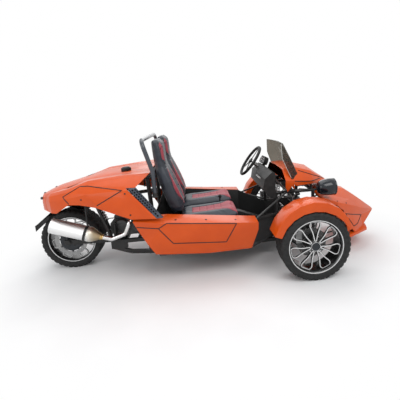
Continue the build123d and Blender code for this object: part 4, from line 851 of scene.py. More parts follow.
def chain(w):
    """Adds inner and outer links with a pin at each joint."""
    pins = along_loop(chain_path(0.0095), 112)
    for i, pin in enumerate(pins):
        following = pins[(i + 1) % len(pins)]
        onward = (following - pin).normalized()
        across = Vector((-onward.z, 0, onward.x))
        outer_link = i % 2 == 0
        for y in ((0.1163, 0.1264) if outer_link else (0.1182, 0.1245)):
            loop = []
            for centre, sign in ((following, 1), (pin, -1)):
                for k in range(5):
                    t = math.pi * (k / 4 - 0.5)
                    loop.append(centre + (onward * math.cos(t) + across * math.sin(t)) * sign * 0.0042)
            prism(w, [(p.x, y, p.z) for p in loop], (0, 1, 0), 0.0013)
        lathe(w, mm((116.4, 0.3), (116.4, 2.7), (127.8, 2.7), (127.8, 0.3)), (pin.x, 0, pin.z), (0, 1, 0), 6)


piece("chain_links", chain, steel, "chassis", 30, "drive_chain")


# Coil springs over dampers
def coil_over(tag, node, low, high, radius, turns, wire):
    """A damper with end eyes and perches, and a coil spring round it."""
    low, high = Vector(low), Vector(high)
    axis = high - low
    length = axis.length
    axis = axis.normalized()
    side = axis.cross(Vector((1, 0, 0)) if abs(axis.x) < 0.4 else Vector((0, 1, 0))).normalized()
    other = axis.cross(side)
    first, last = 0.315 * length, 0.885 * length

    def spring(w):
        points, steps = [], 26
        for step in range(turns * steps + 1):
            share = step / (turns * steps)
            eased = share - 0.035 * math.sin(2 * math.pi * share)
            angle = 2 * math.pi * step / steps
            points.append(low + axis * (first + (last - first) * eased)
                          + (side * math.cos(angle) + other * math.sin(angle)) * (radius - wire))
        tube(w, points, wire, 8)

    piece(f"spring_{tag}", spring, spring_silver, "chassis", 40, node)

    def body(w):
        lathe(w, [(0.05 * length, 0.0004), (0.05 * length, 0.0155), (0.07 * length, 0.0168),
                  (0.60 * length, 0.0168),
                  (0.61 * length, 0.0145), (0.62 * length, 0.0072), (0.62 * length, 0.0004)], low, axis, 32)
        for start, end, wide in ((0.285, 0.300, radius * 0.84), (0.300, 0.309, radius * 0.97),
                (0.892, 0.905, radius * 0.97)):
            lathe(w, [(start * length, 0.016), (start * length, wide), (end * length, wide),
                      (end * length, 0.016)], low, axis, 36)
        lathe(w, [(0.905 * length, 0.0004), (0.905 * length, 0.0165), (0.95 * length, 0.013),
                  (0.95 * length, 0.0004)], low, axis, 28)
        across = (Vector((1, 0, 0)) if abs(low.y) > 0.1 else Vector((0, 1, 0)))
        for end in (low, high):
            lathe(w, mm((-18, 6), (-18, 11), (-14, 13.8), (14, 13.8), (18, 11), (18, 6)),
                  end, across, 28)
            bolt(w, end + across * 0.0175, across, 0.008, 0.005)

    piece(f"damper_{tag}", body, black_paint)
    turned(f"damper_rod_{tag}", [(0.61 * length, 0.0003), (0.61 * length, 0.0068),
            (0.905 * length, 0.0068), (0.905 * length, 0.0003)], low, axis, 20, machined)


for tag, side in (("front_right", -1), ("front_left", 1)):
    coil_over(tag, "front_coilovers", (FRONT_X, side * 0.520, 0.218), (FRONT_X, side * 0.372, 0.640),
              0.038, 8, 0.0056)
coil_over("rear", "rear_shock", (-1.052, 0, 0.3243), (-1.1805, 0, 0.7112), 0.034, 8, 0.0056)


# Lines and bolts laid on panels: a ray along the car's width or height finds the surface
TREES = {}


def on_panel(node, point, way):
    """Place and normal where a ray from outside along way meets a node."""
    if node not in TREES:
        TREES[node] = face_tree(frame["nodes"][node].data)
    way = Vector(way)
    hit, normal, _, _ = TREES[node].ray_cast(Vector(point) - way * 2, way)
    if hit is None:
        return None
    return hit, normal if normal.dot(way) < 0 else -normal


def seam_line(work, node, corners, way, width, closed=False, step=0.012):
    """Adds a dark joint strip that follows a panel through corners given in space."""
    corners = [Vector(c) for c in corners]
    points = along(corners + corners[:1], step, 2)[:-1] if closed else along(corners, step, 2)
    found = [hit[0] for hit in (on_panel(node, p, way) for p in points) if hit]
    if len(found) > 1:
        tube(work, found, width, 6, closed)


# Dark joints and bolts of the painted panels, as (x, z) in side view
SIDE_SEAMS = (
    ("sill", True, ((-0.399, 0.5778), (0.1849, 0.5213), (0.0907, 0.3469), (-0.3632, 0.3792),
                    (-0.472, 0.5316))),
    ("sill", False, ((-0.472, 0.5316), (-0.684, 0.546))),
    ("tail_flank", False, ((-1.2492, 0.7554), (-1.3013, 0.8187), (-1.1402, 0.9000), (-1.0663, 0.9030),
                           (-0.7545, 0.8640), (-0.9834, 0.7438))),
    ("hood", False, ((0.8676, 0.8442), (0.961, 0.8078), (1.1371, 0.7346), (1.1701, 0.7149))),
    ("hood", False, ((0.7989, 0.7648), (0.9338, 0.7385), (1.0085, 0.7358), (1.116, 0.7296))),
    ("nose", True, ((1.3057, 0.3884), (1.5639, 0.2953), (1.4695, 0.2457), (1.3961, 0.2479))),
)
SIDE_BOLTS = (("tail_flank", -1.1262, 0.7937), ("tail_flank", -0.6986, 0.6551),
              ("tail_flank", -0.731, 0.8344), ("nose", 1.2056, 0.5345), ("nose", 1.3232, 0.4885))
TOP_BOLTS = (("sill", -0.328, 0.6373), ("sill", -0.07, 0.6387), ("sill", 0.184, 0.6396))
for tag, side in (("right", -1), ("left", 1)):
    def panel(base):
        return base if base in ("hood", "nose") else f"{base}_{tag}"

    def joints(w):
        for base, closed, line in SIDE_SEAMS:
            seam_line(w, panel(base), [(x, 0, z) for x, z in line], (0, -side, 0), 0.0042, closed)

    def bolts(w):
        for base, x, z in SIDE_BOLTS:
            hit = on_panel(panel(base), (x, 0, z), (0, -side, 0))
            if hit:
                bolt(w, hit[0], hit[1], 0.0055, 0.004)
        for base, x, y in TOP_BOLTS:
            hit = on_panel(panel(base), (x, side * y, 0), (0, 0, -1))
            if hit:
                bolt(w, hit[0], hit[1], 0.007, 0.004)

    piece(f"panel_joints_{tag}", joints, gasket, smooth=40)
    piece(f"panel_bolts_{tag}", bolts, black_paint, smooth=30)

# Honeycomb vents in front of dark backing plates
VENT = [(-0.7207, 0.8770), (-0.4792, 0.6170), (-0.4240, 0.6208), (-0.6427, 0.8770)]
VENT_MIDDLE = (sum(x for x, _ in VENT) / 4, sum(z for _, z in VENT) / 4)
CELL = 0.0105


def edge_gaps(outline, points):
    """For each edge of a convex outline, how far inside it the points lie."""
    edges = list(zip(outline, outline[1:] + outline[:1]))
    area = sum(a[0] * b[1] - b[0] * a[1] for a, b in edges)
    for (ax, ay), (bx, by) in edges:
        length = math.hypot(bx - ax, by - ay) * (1 if area > 0 else -1)
        yield [((bx - ax) * (v - ay) - (by - ay) * (u - ax)) / length for u, v in points]


def inside(outline, point, margin):
    """Whether a point lies inside a convex outline by a margin."""
    return all(gap[0] >= margin for gap in edge_gaps(outline, [point]))


def clipped(loop, outline, margin):
    """Part of a loop that lies inside a convex outline by a margin."""
    for edge in range(len(outline)):
        gaps = [gap - margin for gap in list(edge_gaps(outline, loop))[edge]]
        kept = []
        for i, (u, v) in enumerate(loop):
            k = (i + 1) % len(loop)
            if gaps[i] >= 0:
                kept.append((u, v))
            if gaps[i] * gaps[k] < 0:
                share = gaps[i] / (gaps[i] - gaps[k])
                kept.append((u + (loop[k][0] - u) * share, v + (loop[k][1] - v) * share))
        loop = kept
    return loop


def vent_cells():
    """Hexagons in rows that lean with the vent."""
    lean = math.atan2(VENT[1][1] + VENT[2][1] - VENT[0][1] - VENT[3][1],
                      VENT[1][0] + VENT[2][0] - VENT[0][0] - VENT[3][0])
    across, up = CELL * math.sqrt(3) + 0.0062, CELL * 1.5 + 0.0048
    found = []
    for row in range(-7, 8):
        for column in range(-14, 15):
            u, v = (column + 0.5 * (row % 2)) * across, row * up
            dx, dz = turned_by(u, v, lean)
            x, z = VENT_MIDDLE[0] + dx, VENT_MIDDLE[1] + dz
            if inside(VENT, (x, z), CELL * 0.25):
                found.append(clipped(ring_loop(CELL, 6, (x, z), turn=lean + math.pi / 6), VENT, 0.0028))
    return found


def vent_grille(side, deep, holes):
    """Builder of a plate that follows the side vent at two depths below its face."""
    def build(w):
        plate(w, VENT, holes, lambda u, v, depth: Vector((u, side * depth, v)), 1.0)
        for vert in w.verts:
            far = abs(vert.co.y) < 0.5
            hit = on_panel("side_vents", (vert.co.x, 0, vert.co.z), (0, -side, 0))
            if hit is None:
                pull = min(VENT, key=lambda p: math.hypot(p[0] - vert.co.x, p[1] - vert.co.z))
                x, z = (p + (m - p) * 0.02 for p, m in zip(pull, VENT_MIDDLE))
                hit = on_panel("side_vents", (x, 0, z), (0, -side, 0))
            y = hit[0].y if hit else side * 0.60
            vert.co.y = y - side * (deep[0] if far else deep[1])
    return build


for tag, side in (("right", -1), ("left", 1)):
    piece(f"vent_grille_{tag}", vent_grille(side, (0.010, 0.0), vent_cells()), vent_black, "chassis", 30,
          "side_vents")
    piece(f"vent_back_{tag}", vent_grille(side, (0.0195, 0.0145), []), gasket, smooth=30)

# Steering wheel: padded rim, drilled spokes and horn pad
TOWARDS = Vector((-0.792, 0, 0.610)).normalized()
HUB = Vector((0.490944, 0.2499, 0.9))
SIDEWAYS = Vector((0, 1, 0))
UPWARDS = SIDEWAYS.cross(TOWARDS)


def on_wheel(u, v, depth):
    """A place on the steering wheel: across, up and away from the driver."""
    return HUB + SIDEWAYS * u + UPWARDS * v - TOWARDS * depth


RIM_R, RIM_TUBE = 0.1735, 0.0155


def steering_rim(w):
    """Adds the padded rim with finger waves on its inner side."""
    angles = [2 * math.pi * k / 16 for k in range(16)]
    profile = [(RIM_TUBE * math.cos(t), RIM_R + RIM_TUBE * math.sin(t)) for t in angles]

    def waves(step, index, offset, radius):
        squeeze = 0.0012 * (0.5 + 0.5 * math.cos(2 * math.pi * step * 26 / 208))
        return RIM_R + (radius - RIM_R) * (1 - squeeze / RIM_TUBE) if radius < RIM_R else radius

    lathe(w, profile, HUB, TOWARDS, 208, waves)


piece("steering_rim", steering_rim, grip, "wheel_of_steering", 60, "steering_wheel")


def steering_spokes(w):
    """Adds three drilled spokes and the hub ring with six bolts."""
    outline = [(-0.017, 0.026), (0.017, 0.026), (0.0115, 0.085), (0.014, 0.1645), (-0.014, 0.1645),
               (-0.0115, 0.085)]
    holes = [ring_loop(size, 16, (0, v)) for v, size in mm((62, 6.2), (86, 5.4), (108, 5.4), (131, 6.2))]
    for turn in (0, 140, 220):
        angle = math.radians(turn)

        def spun(u, v, depth):
            return on_wheel(*turned_by(u, v, angle), depth - 0.002)

        plate(w, outline, holes, spun, 0.0045)
    lathe(w, mm((-8.5, 10.5), (-8.5, 33), (4, 33.8), (4, 10.5)), HUB, TOWARDS, 48)
    bolt_ring(w, on_wheel(0, 0, -0.004), SIDEWAYS, UPWARDS, 0.0275, 6, TOWARDS, 0.0028, 0.003)


piece("steering_spokes", steering_spokes, black_paint, "wheel_of_steering", 35, ())
turned("horn_pad", mm((2, 0.4), (2, 21.5), (8, 22.2), (11.5, 19.5), (12.8, 13), (13.2, 0.4)), HUB,
       TOWARDS, 48, gloss_black, "wheel_of_steering", 40, ())
turned("steering_shaft", mm((-258, 0.3), (-258, 9.5), (-6, 9.5), (-6, 0.3)), HUB, TOWARDS, 24, steel,
       "wheel_of_steering", 40, ())


# Rear hub cover and side skirts of the mudguard tongue
def rear_cover(w):
    """Adds the stepped cover with its ring of bolts."""
    centre = (REAR_X, 0, AXLE_Z)
    lathe(w, mm((72, 0.4), (72, 98), (98, 110.5), (109, 109.5), (112, 104), (112.8, 80), (110, 74),
                (110, 50), (113.5, 44), (113.5, 0.4)), centre, (0, -1, 0), 96)
    bolt_ring(w, (REAR_X, -0.1100, AXLE_Z), ALONG, ABOVE, 0.062, 8, (0, -1, 0), 0.0048, 0.0035, 0.5)


piece("rear_hub_cover", rear_cover, gloss_black, "rear_wheel", 30, ())


def skirts(w):
    """Adds a side skirt under each edge of the mudguard's tongue."""
    for side in (-1, 1):
        line = []
        for step in range(13):
            x = -1.7430 + step * 0.0125
            hit = on_panel("rear_mudguard", (x, side * 0.10, 0), (0, 0, -1))
            if hit:
                line.append((x, hit[0].z))
        top = [(x, side * 0.1096, z - 0.0008) for x, z in line]
        low = [(x, side * 0.1096, z - 0.058 + 0.020 * k / len(line)) for k, (x, z) in enumerate(line)]
        prism(w, top + low[::-1], (0, side, 0), 0.0022)


piece("mudguard_skirts", skirts, moulding)

# Silencer: brushed can with bands, rivets, a dished end and a heat-tinted joint
CAN = Vector((-1.488992, -0.32998, 0.537))
CAN_LINE = Vector((math.sqrt(0.367 ** 2 - 0.122 ** 2), 0, -0.122)).normalized()
turned("silencer_can", mm((29, 0.4), (29, 22.2), (0.8, 22.2), (0.8, 23.8), (5.5, 26.2), (6, 56), (1, 64),
        (0.6, 69), (2.5, 71.3), (17, 71.3), (18, 70.2), (25.5, 70.2), (26.5, 70.8), (340, 70.8),
        (341.5, 71.4), (360, 71.4), (368, 70), (380, 65), (400, 56), (440, 34), (453, 29.8), (453, 0.4)),
        CAN, CAN_LINE, 96, can_steel, "chassis", 28, "silencer")


def can_rivets(w):
    """Adds a ring of rivets at both ends of the can."""
    across = CAN_LINE.cross(Vector((0, 1, 0))).normalized()
    for offset in (0.0095, 0.3505):
        for step in range(12):
            angle = 2 * math.pi * (step + 0.5) / 12
            way = Vector((0, 1, 0)) * math.cos(angle) + across * math.sin(angle)
            lathe(w, mm((0, 0.2), (0, 3.6), (1.2, 3), (1.8, 1.4), (1.8, 0.2)),
                  CAN + CAN_LINE * offset + way * 0.0706, way, 10)


piece("silencer_rivets", can_rivets, machined, smooth=40)
turned("silencer_joint", mm((452.8, 21.5), (452.8, 29.4), (456, 30), (464, 26.2), (465.5, 24), (470, 24),
        (471.5, 26.2), (477, 26.2), (477, 21.5)), CAN, CAN_LINE, 48, gold_joint)

# Headlamps: black bowls with a bezel, a reflector and a clear lens
for tag, side in (("right", -1), ("left", 1)):
    lamp_at = (1.165, side * 0.400, 0.690)
    turned(f"headlamp_bowl_{tag}", mm((-164.5, 0.4), (-164, 30), (-158, 47), (-145, 59), (-125, 68),
            (-95, 75.5), (-60, 79.2), (-20, 79.8), (-16, 77.5), (-12, 79.8), (-2, 79), (0, 76.5),
            (-1, 72), (-10, 70), (-50, 66), (-95, 30), (-95, 0.4)), lamp_at, (1, 0, 0), 72, gloss_black,
            "chassis", 35, "headlamps")
    turned(f"headlamp_reflector_{tag}", mm((-12, 69), (-30, 66), (-55, 54), (-75, 34), (-84, 16),
            (-86, 0.4), (-90, 0.4), (-88, 17), (-79, 35.5), (-59, 55.8), (-32, 68), (-12, 70)), lamp_at,
            (1, 0, 0), 64, machined, smooth=40)
    turned(f"headlamp_bulb_{tag}", mm((-86, 0.4), (-86, 11), (-68, 11.5), (-58, 15), (-48, 15), (-42, 11),
            (-40, 0.4)), lamp_at, (1, 0, 0), 32, machined, smooth=40)
    turned(f"headlamp_lens_{tag}", mm((-12.5, 0.4), (-12.5, 69.8), (-9.5, 69.8), (-6, 60), (-3, 40),
            (-1.5, 18), (-1.2, 0.4)), lamp_at, (1, 0, 0), 64, clear, smooth=40)

# Windscreen edge and its foot screws
SCREEN_EDGE = [(0.7692, 0.3600, 0.8010), (0.7030, 0.3160, 0.9800), (0.7000, 0.3030, 1.1185),
               (0.7220, 0.2700, 1.1185), (0.7480, 0, 1.1185)]


def screen_edge(w):
    """Adds a cord along the screen's free edge, whose pale colour is a painted highlight."""
    line = SCREEN_EDGE + [(x, -y, z) for x, y, z in reversed(SCREEN_EDGE[:-1])]
    tube(w, [(x - 0.003, y * 0.995, z) for x, y, z in line], 0.0022, 8)


piece("screen_edge", screen_edge, painted_highlight_edge, smooth=60)


def screen_screws(w):
    """Adds the screws along the screen's foot."""
    for side in (-1, 1):
        for y in (0.318, 0.185, 0.07):
            hit = on_panel("windscreen", (0, side * y, 0.835 + 0.02 * (0.3 - y)), (-1, 0, 0))
            if hit:
                bolt(w, hit[0], hit[1], 0.006, 0.004)


piece("screen_screws", screen_screws, black_paint)

# Instrument pod with two plain dials, switches and warning lights
POD = Vector((0.622, 0.2499, 0.900))
POD_BACK = Vector((-0.90, 0, 0.436)).normalized()
DIALS, DIAL_V = (-0.052, 0.052), 0.002


def pod_at(u, v, depth):
    """A place on the instrument pod: across, up and away from the driver."""
    return POD + SIDEWAYS * u + SIDEWAYS.cross(POD_BACK) * v - POD_BACK * depth


def pod(w):
    """Adds the pod with two dial holes, its back and its stalk."""
    outline = smooth_loop([(-0.105, -0.035), (0.105, -0.035), (0.112, 0.010), (0.070, 0.046),
            (-0.070, 0.046), (-0.112, 0.010)], 0.02)
    plate(w, outline, [ring_loop(0.0345, 40, (u, DIAL_V)) for u in DIALS], lambda u, v,
          d: pod_at(u, v, d), 0.042)
    plate(w, [(u * 0.97, v * 0.97) for u, v in outline], [], lambda u, v, d: pod_at(u, v, 0.0425 + d), 0.004)
    tube(w, [pod_at(0, -0.02, 0.035), pod_at(0, -0.062, 0.045)], 0.016, 12)


piece("instrument_pod", pod, moulding)


def dials(w):
    """Adds the dial faces."""
    for u in DIALS:
        plate(w, ring_loop(0.0342, 40, (u, DIAL_V)), [], lambda a, b, d: pod_at(a, b, 0.012 + d), 0.002)


piece("dial_faces", dials, gloss_black)


def dial_marks(w):
    """Adds the scale marks and the rings round the dials."""
    for u in DIALS:
        for step in range(25):
            angle = math.radians(225 - 270 * step / 24)
            long = 0.0055 if step % 4 == 0 else 0.0030
            ends = [pod_at(*polar(r, angle, (u, DIAL_V)), 0.0115) for r in (0.031, 0.031 - long)]
            tube(w, ends, 0.00055, 4)
        lathe(w, mm((0, 33.5), (12.5, 33.8), (12.5, 35), (0, 35)), pod_at(u, DIAL_V, 0.0125), POD_BACK, 48)


piece("dial_marks", dial_marks, machined)


def needles(w):
    """Adds the needles and three warning lights."""
    for u, turn in zip(DIALS, (222, 228)):
        angle = math.radians(turn)
        tip = pod_at(*polar(0.026, angle, (u, DIAL_V)), 0.0095)
        tube(w, [pod_at(u, DIAL_V, 0.0095), tip], 0.0009, 6)
        lathe(w, mm((0, 0.3), (0, 4), (3, 3.5), (3, 0.3)), pod_at(u, DIAL_V, 0.0115), POD_BACK, 16)
    for u in (-0.012, 0.0, 0.012):
        lathe(w, mm((0, 0.3), (0, 3), (1.8, 2.4), (1.8, 0.3)), pod_at(u, 0.028, 0.0), POD_BACK, 12)


piece("dial_needles", needles, red_lens)


def switches(w):
    """Adds a row of toggle switches."""
    for index in range(4):
        place = Vector((0.5, -0.06 - index * 0.05, 0.79))
        lathe(w, mm((0, 0.4), (0, 10.5), (2.5, 10), (3, 6), (3, 0.4)), place, (-1, 0, 0), 24)
        tube(w, [place, place + Vector((-0.016, 0, 0.006))], 0.0026, 8)


piece("dash_switches", switches, steel)


# Lever gaiter, pedal pads, floor mats, hoop feet and tail markers
def gaiter(w):
    """Adds the folded gaiter of the gear lever."""
    folds = [(0.0, 0.036), (0.006, 0.033), (0.012, 0.034), (0.018, 0.028), (0.024, 0.029), (0.030, 0.022),
             (0.036, 0.023),
             (0.044, 0.015), (0.052, 0.012), (0.055, 0.009)]
    lathe(w, mm((0, 0.4)) + folds + [(0.055, 0.0004)], (0.092, 0, 0.4522), (0, 0, 1), 32)


piece("lever_gaiter", gaiter, vinyl, smooth=45)


def pads(w):
    """Adds the ribs of the three pedal rubbers."""
    for y in (0.0604, 0.1261, 0.1917):
        for rib in range(6):
            z = 0.279 + rib * 0.0084
            prism(w, [(0.746, y - 0.022, z), (0.746, y + 0.022, z), (0.746, y + 0.022, z + 0.0052),
                      (0.746, y - 0.022, z + 0.0052)],
                  (-1, 0, 0), 0.0035)


piece("pedal_rubbers", pads, grip)


def mats(w):
    """Adds a floor mat for each seat."""
    for side in (-1, 1):
        outline = [(0.20, 0.050), (0.700, 0.050), (0.735, 0.070), (0.735, 0.190), (0.42, 0.196),
                   (0.34, 0.40), (0.20, 0.40)]
        prism(w, [(x, side * y, 0.1897) for x, y in outline], (0, 0, 1), 0.006)


piece("floor_mats", mats, carpet)


HOOP_X, HOOP_Y = -0.492, 0.509


def hoop_feet(w):
    """Adds collars and clamp bolts at the roll hoop's feet."""
    for side in (-1, 1):
        foot = Vector((HOOP_X, side * HOOP_Y, 0.764))
        lathe(w, mm((0, 19.5), (0, 28.5), (6, 29), (10, 24.5), (38, 23.5), (40, 19.5)), foot, (0, 0, 1), 36)
        for z in (0.82, 0.90, 0.965):
            for way in (-1, 1):
                bolt(w, (HOOP_X + way * 0.0185, side * HOOP_Y, z), (way, 0, 0), 0.0065, 0.005)


piece("hoop_feet", hoop_feet, black_paint)


def markers(w):
    """Adds the round marker lamps of the tail."""
    for side in (-1, 1):
        for x, y, z in ((-1.5640, 0.135, 0.802), (-1.5660, 0.215, 0.775)):
            lathe(w, mm((-12, 0.4), (-12, 11), (0, 12.5), (20, 13.5), (24, 12), (25, 0.4)),
                  (x, side * y, z), (-1, 0, 0.1), 24)


piece("tail_markers", markers, gloss_black)


# Engine: crankcase, finned barrel, head cover and round side covers
def engine_parts(w):
    """Adds crankcase, finned barrel, head and side covers."""
    def block(low, high, cut):
        (x0, y0, z0), (x1, y1, z1) = low, high
        outline = [(x0 + cut, z0), (x1 - cut, z0), (x1, z0 + cut), (x1, z1 - cut), (x1 - cut, z1),
                   (x0 + cut, z1), (x0, z1 - cut), (x0, z0 + cut)]
        prism(w, [(x, y0, z) for x, z in outline], (0, 1, 0), y1 - y0)

    block((-0.995, -0.195, 0.335), (-0.665, 0.090, 0.500), 0.038)
    block((-0.960, -0.160, 0.500), (-0.700, 0.070, 0.532), 0.008)
    for step in range(9):
        z = 0.535 + step * 0.0115
        block((-0.948 + step % 2 * 0.004, -0.172, z), (-0.712, 0.078, z + 0.0035), 0.0015)
    block((-0.930, -0.150, 0.535), (-0.730, 0.060, 0.640), 0.004)
    block((-0.938, -0.160, 0.6400), (-0.722, 0.066, 0.6595), 0.007)
    for x, z, radius, deep in ((-0.885, 0.425, 0.078, 0.036), (-0.735, 0.418, 0.050, 0.028)):
        lathe(w, [(0, 0.0004), (0, radius), (deep * 0.6, radius), (deep, radius * 0.9),
                  (deep, radius * 0.55), (deep * 0.85, radius * 0.5),
                  (deep * 0.85, 0.0004)], (x, -0.195, z), (0, -1, 0), 56)
        bolt_ring(w, (x, -0.195 - deep, z), ALONG, ABOVE, radius * 0.80, 8, (0, -1, 0), 0.004, 0.003)
    lathe(w, mm((0, 0.4), (0, 70), (4, 72), (4, 0.4)), (-0.880, 0.090, 0.420), (0, 1, 0), 48)


piece("engine_block", engine_parts, engine_cast, "chassis", 30, "engine")


# Seats: covers filled by cloth simulation, then seams, channels, inserts and piping
def superloop(half, bulge, count=40):
    """Section of a backrest as (across, forward share): flat back, dished front between bolsters."""
    loop = []
    for step in range(count):
        angle = 2 * math.pi * step / count
        c, s = math.cos(angle), math.sin(angle)
        across = half * math.copysign(abs(c) ** 0.55, c)
        forward = math.copysign(abs(s) ** 0.6, s)
        loop.append((across, forward))
    return [(a, (f * 0.5 + 0.5) * (1 - bulge * max(0.0, f) * max(0.0, 1 - abs(a / half) * 1.25))) for a,
            f in loop]


def soft_body(w, stations):
    """Adds a closed form through loops in space, with fans at both ends."""
    rings = [[w.verts.new(p) for p in loop] for loop in stations]
    for a, b in zip(rings, rings[1:]):
        bridge(w, a, b)
    for ring in (rings[0], rings[-1]):
        middle = w.verts.new(sum((v.co for v in ring), Vector()) / len(ring))
        for i in range(len(ring)):
            w.faces.new((ring[i], ring[(i + 1) % len(ring)], middle))


# Columns: front x and z, rear x and z, half width, dish
BACK = (
    (-0.248, 0.598, -0.362, 0.590, 0.188, 0.00),
    (-0.250, 0.640, -0.382, 0.632, 0.205, 0.10),
    (-0.270, 0.715, -0.405, 0.705, 0.210, 0.22),
    (-0.300, 0.800, -0.430, 0.785, 0.211, 0.26),
    (-0.333, 0.880, -0.452, 0.865, 0.208, 0.24),
    (-0.366, 0.955, -0.468, 0.940, 0.198, 0.16),
    (-0.392, 1.015, -0.474, 1.005, 0.176, 0.05),
    (-0.400, 1.062, -0.479, 1.055, 0.170, 0.05),
    (-0.401, 1.120, -0.484, 1.112, 0.172, 0.12),
    (-0.405, 1.190, -0.488, 1.180, 0.164, 0.12),
    (-0.414, 1.245, -0.491, 1.235, 0.148, 0.02),
    (-0.428, 1.262, -0.486, 1.255, 0.125, 0.00),
)
# Columns: x, bottom z, top z, half width, dish
CUSHION = (
    (-0.305, 0.440, 0.520, 0.190, 0.00),
    (-0.290, 0.428, 0.536, 0.206, 0.05),
    (-0.200, 0.428, 0.545, 0.210, 0.16),
    (-0.060, 0.428, 0.552, 0.211, 0.18),
    (0.080, 0.428, 0.560, 0.210, 0.15),
    (0.170, 0.434, 0.566, 0.207, 0.08),
    (0.225, 0.470, 0.566, 0.200, 0.02),
    (0.240, 0.500, 0.552, 0.186, 0.00),
)
SEAT_Y = -0.266


def back_mesh(w):
    """Adds the backrest's closed form from its stations."""
    loops = []
    for fx, fz, rx, rz, half, dish in BACK:
        front, rear = Vector((fx, 0, fz)), Vector((rx, 0, rz))
        loops.append([rear + (front - rear) * f + Vector((0, SEAT_Y + a, 0)) for a,
                      f in superloop(half, dish)])
    soft_body(w, loops)


def cushion_mesh(w):
    """Adds the cushion's closed form from its stations."""
    loops = []
    for x, low, high, half, dish in CUSHION:
        loops.append([Vector((x, SEAT_Y + a, low + (high - low) * f)) for a, f in superloop(half, dish)])
    soft_body(w, loops)


def filled(made, cap, voxel=0.0075):
    """Fills a cover by cloth simulation under pressure; no point moves further than cap."""
    applied(made, ("REMESH", {"mode": "VOXEL", "voxel_size": voxel}))
    start = [v.co.copy() for v in made.data.vertices]
    cloth = made.modifiers.new("cover", "CLOTH")
    settings = cloth.settings
    settings.quality = 4
    settings.mass = 0.3
    settings.tension_stiffness = settings.compression_stiffness = 22
    settings.shear_stiffness = 8
    settings.bending_stiffness = 0.6
    settings.use_pressure = True
    settings.uniform_pressure_force = 4
    settings.effector_weights.gravity = 0
    cloth.point_cache.frame_start, cloth.point_cache.frame_end = 1, 20
    for number in range(1, 21):
        bpy.context.scene.frame_set(number)
        bpy.context.view_layer.update()
    applied(made)
    bpy.context.scene.frame_set(1)
    for vert, old in zip(made.data.vertices, start):
        way = vert.co - old
        if way.length > cap:
            vert.co = old + way * (cap / way.length)
    applied(made, ("SUBSURF", {"levels": 1}))
    return made


def seat_details(made, lines, region, way, deep, reach):
    """Presses channels along lines into a cover and gives faces inside a region the second material."""
    mesh = made.data
    tree = KDTree(len(lines))
    for i, p in enumerate(lines):
        tree.insert(p, i)
    tree.balance()
    normals = [v.normal.copy() for v in mesh.vertices]
    for vert, normal in zip(mesh.vertices, normals):
        if normal.dot(way) > 0.15:
            flat = vert.co - way * vert.co.dot(way)
            _, _, gap = tree.find(flat)
            if gap < reach * 2.5:
                vert.co -= normal * (deep * math.exp(-(gap / reach) ** 2))
    for face in mesh.polygons:
        if face.normal.dot(way) > 0.25 and region(face.center):
            face.material_index = 1
    for face in mesh.polygons:
        face.use_smooth = True


def flat_line(points, way, step=0.003):
    """Points of a polyline, flattened along way."""
    return [p - way * p.dot(way) for p in along(points, step)]


def in_outline(outline, u, v):
    """Even-odd test of a point in an outline."""
    within = False
    for (au, av), (bu, bv) in zip(outline, outline[1:] + outline[:1]):
        if (av > v) != (bv > v) and u < (bu - au) * (v - av) / (bv - av) + au:
            within = not within
    return within


# Outlines of the red inserts: across from the seat's middle, and height or distance along
LEAF = [(0.070, 0.640), (0.120, 0.660), (0.172, 0.740), (0.180, 0.830), (0.160, 0.930), (0.128, 0.995),
        (0.112, 0.930), (0.118, 0.830), (0.098, 0.720)]
CHEEK = [(0.085, 1.045), (0.138, 1.075), (0.148, 1.140), (0.138, 1.205), (0.104, 1.232), (0.098, 1.150)]
PANEL = [(0.084, -0.190), (0.088, 0.020), (0.100, 0.110), (0.165, 0.190), (0.180, 0.236)]
FORWARD = Vector((0.94, 0, 0.34)).normalized()


def back_curves():
    """Seams of the backrest: inserts, headrest joint and channels."""
    curves = []
    for outline in (LEAF, CHEEK):
        for side in (-1, 1):
            loop = smooth_loop([(side * u, v) for u, v in outline], 0.03, 6)
            curves.append([Vector((-0.3, SEAT_Y + u, v)) for u, v in loop + loop[:1]])
    curves.append([Vector((-0.3, SEAT_Y - 0.14, 1.030)), Vector((-0.3, SEAT_Y, 1.018)),
                   Vector((-0.3, SEAT_Y + 0.14, 1.030))])
    for z in (0.72, 0.79, 0.86, 0.93):
        curves.append([Vector((-0.3, SEAT_Y - 0.085, z)), Vector((-0.3, SEAT_Y + 0.085, z))])
    return curves


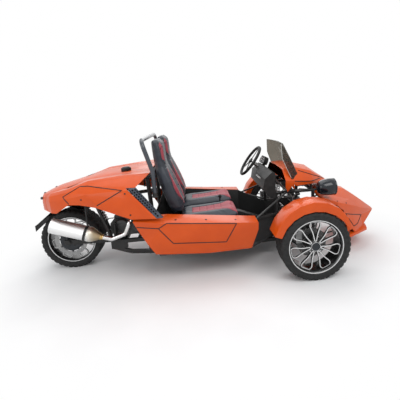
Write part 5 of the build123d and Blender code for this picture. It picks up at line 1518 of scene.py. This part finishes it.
def cushion_curves():
    """Seams of the cushion: the red panel's edges and channels."""
    right = [Vector((x, SEAT_Y + u, 0.55)) for u, x in PANEL]
    left = [Vector((x, SEAT_Y - u, 0.55)) for u, x in PANEL]
    curves = [right, left, [right[0], left[0]]]
    for x in (-0.12, -0.05, 0.02, 0.09):
        curves.append([Vector((x, SEAT_Y - 0.080, 0.55)), Vector((x, SEAT_Y + 0.080, 0.55))])
    return curves


def piping(w, tree, curve, way, radius):
    """Adds a cord of piping that lies on a cover along a curve seen from way."""
    found = []
    for p in along(curve, 0.006):
        hit, normal, _, _ = tree.ray_cast(p + way * 1.0, -way)
        if hit:
            found.append(hit + normal * radius * 0.35)
    if len(found) > 2:
        tube(w, found, radius, 6)


CHANNEL_DEEP, CHANNEL_REACH, PIPING_R, MOST = 0.0048, 0.0052, 0.0021, 0.012


def make_seat(part, build, curves, piped, way, region):
    """Simulates the right cover, details it and copies it to the left seat."""
    made = piece(f"{part}_cover_right", build, [vinyl, red_vinyl], "chassis", None, f"{part}_right")
    filled(made, MOST)
    flats = [p for curve in curves for p in flat_line(curve, way)]
    seat_details(made, flats, region, way, CHANNEL_DEEP, CHANNEL_REACH)
    tree = face_tree(made.data)

    def cords(w):
        for curve in curves[:piped]:
            piping(w, tree, curve, way, PIPING_R)

    trim_piece = piece(f"{part}_piping_right", cords, vinyl, smooth=60)
    for source, name, node in ((made, f"{part}_cover_left", f"{part}_left"),
                               (trim_piece, f"{part}_piping_left", ())):
        copy = source.data.copy()
        copy.transform(Matrix.Translation((0, -2 * SEAT_Y, 0)))
        twin = bpy.data.objects.new(name, copy)
        bpy.context.scene.collection.objects.link(twin)
        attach(twin, "chassis")
        if node:
            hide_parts(node)


RED_BACK = [[(side * u, v) for u, v in outline] for outline in (LEAF, CHEEK) for side in (-1, 1)]
RED_SEAT = PANEL + [(-u, x) for u, x in reversed(PANEL)]
make_seat("seat_back", back_mesh, back_curves(), 4, FORWARD,
          lambda p: any(in_outline(outline, p.y - SEAT_Y, p.z) for outline in RED_BACK))
make_seat("seat_cushion", cushion_mesh, cushion_curves(), 3, Vector(ABOVE),
          lambda p: in_outline(RED_SEAT, p.y - SEAT_Y, p.x))
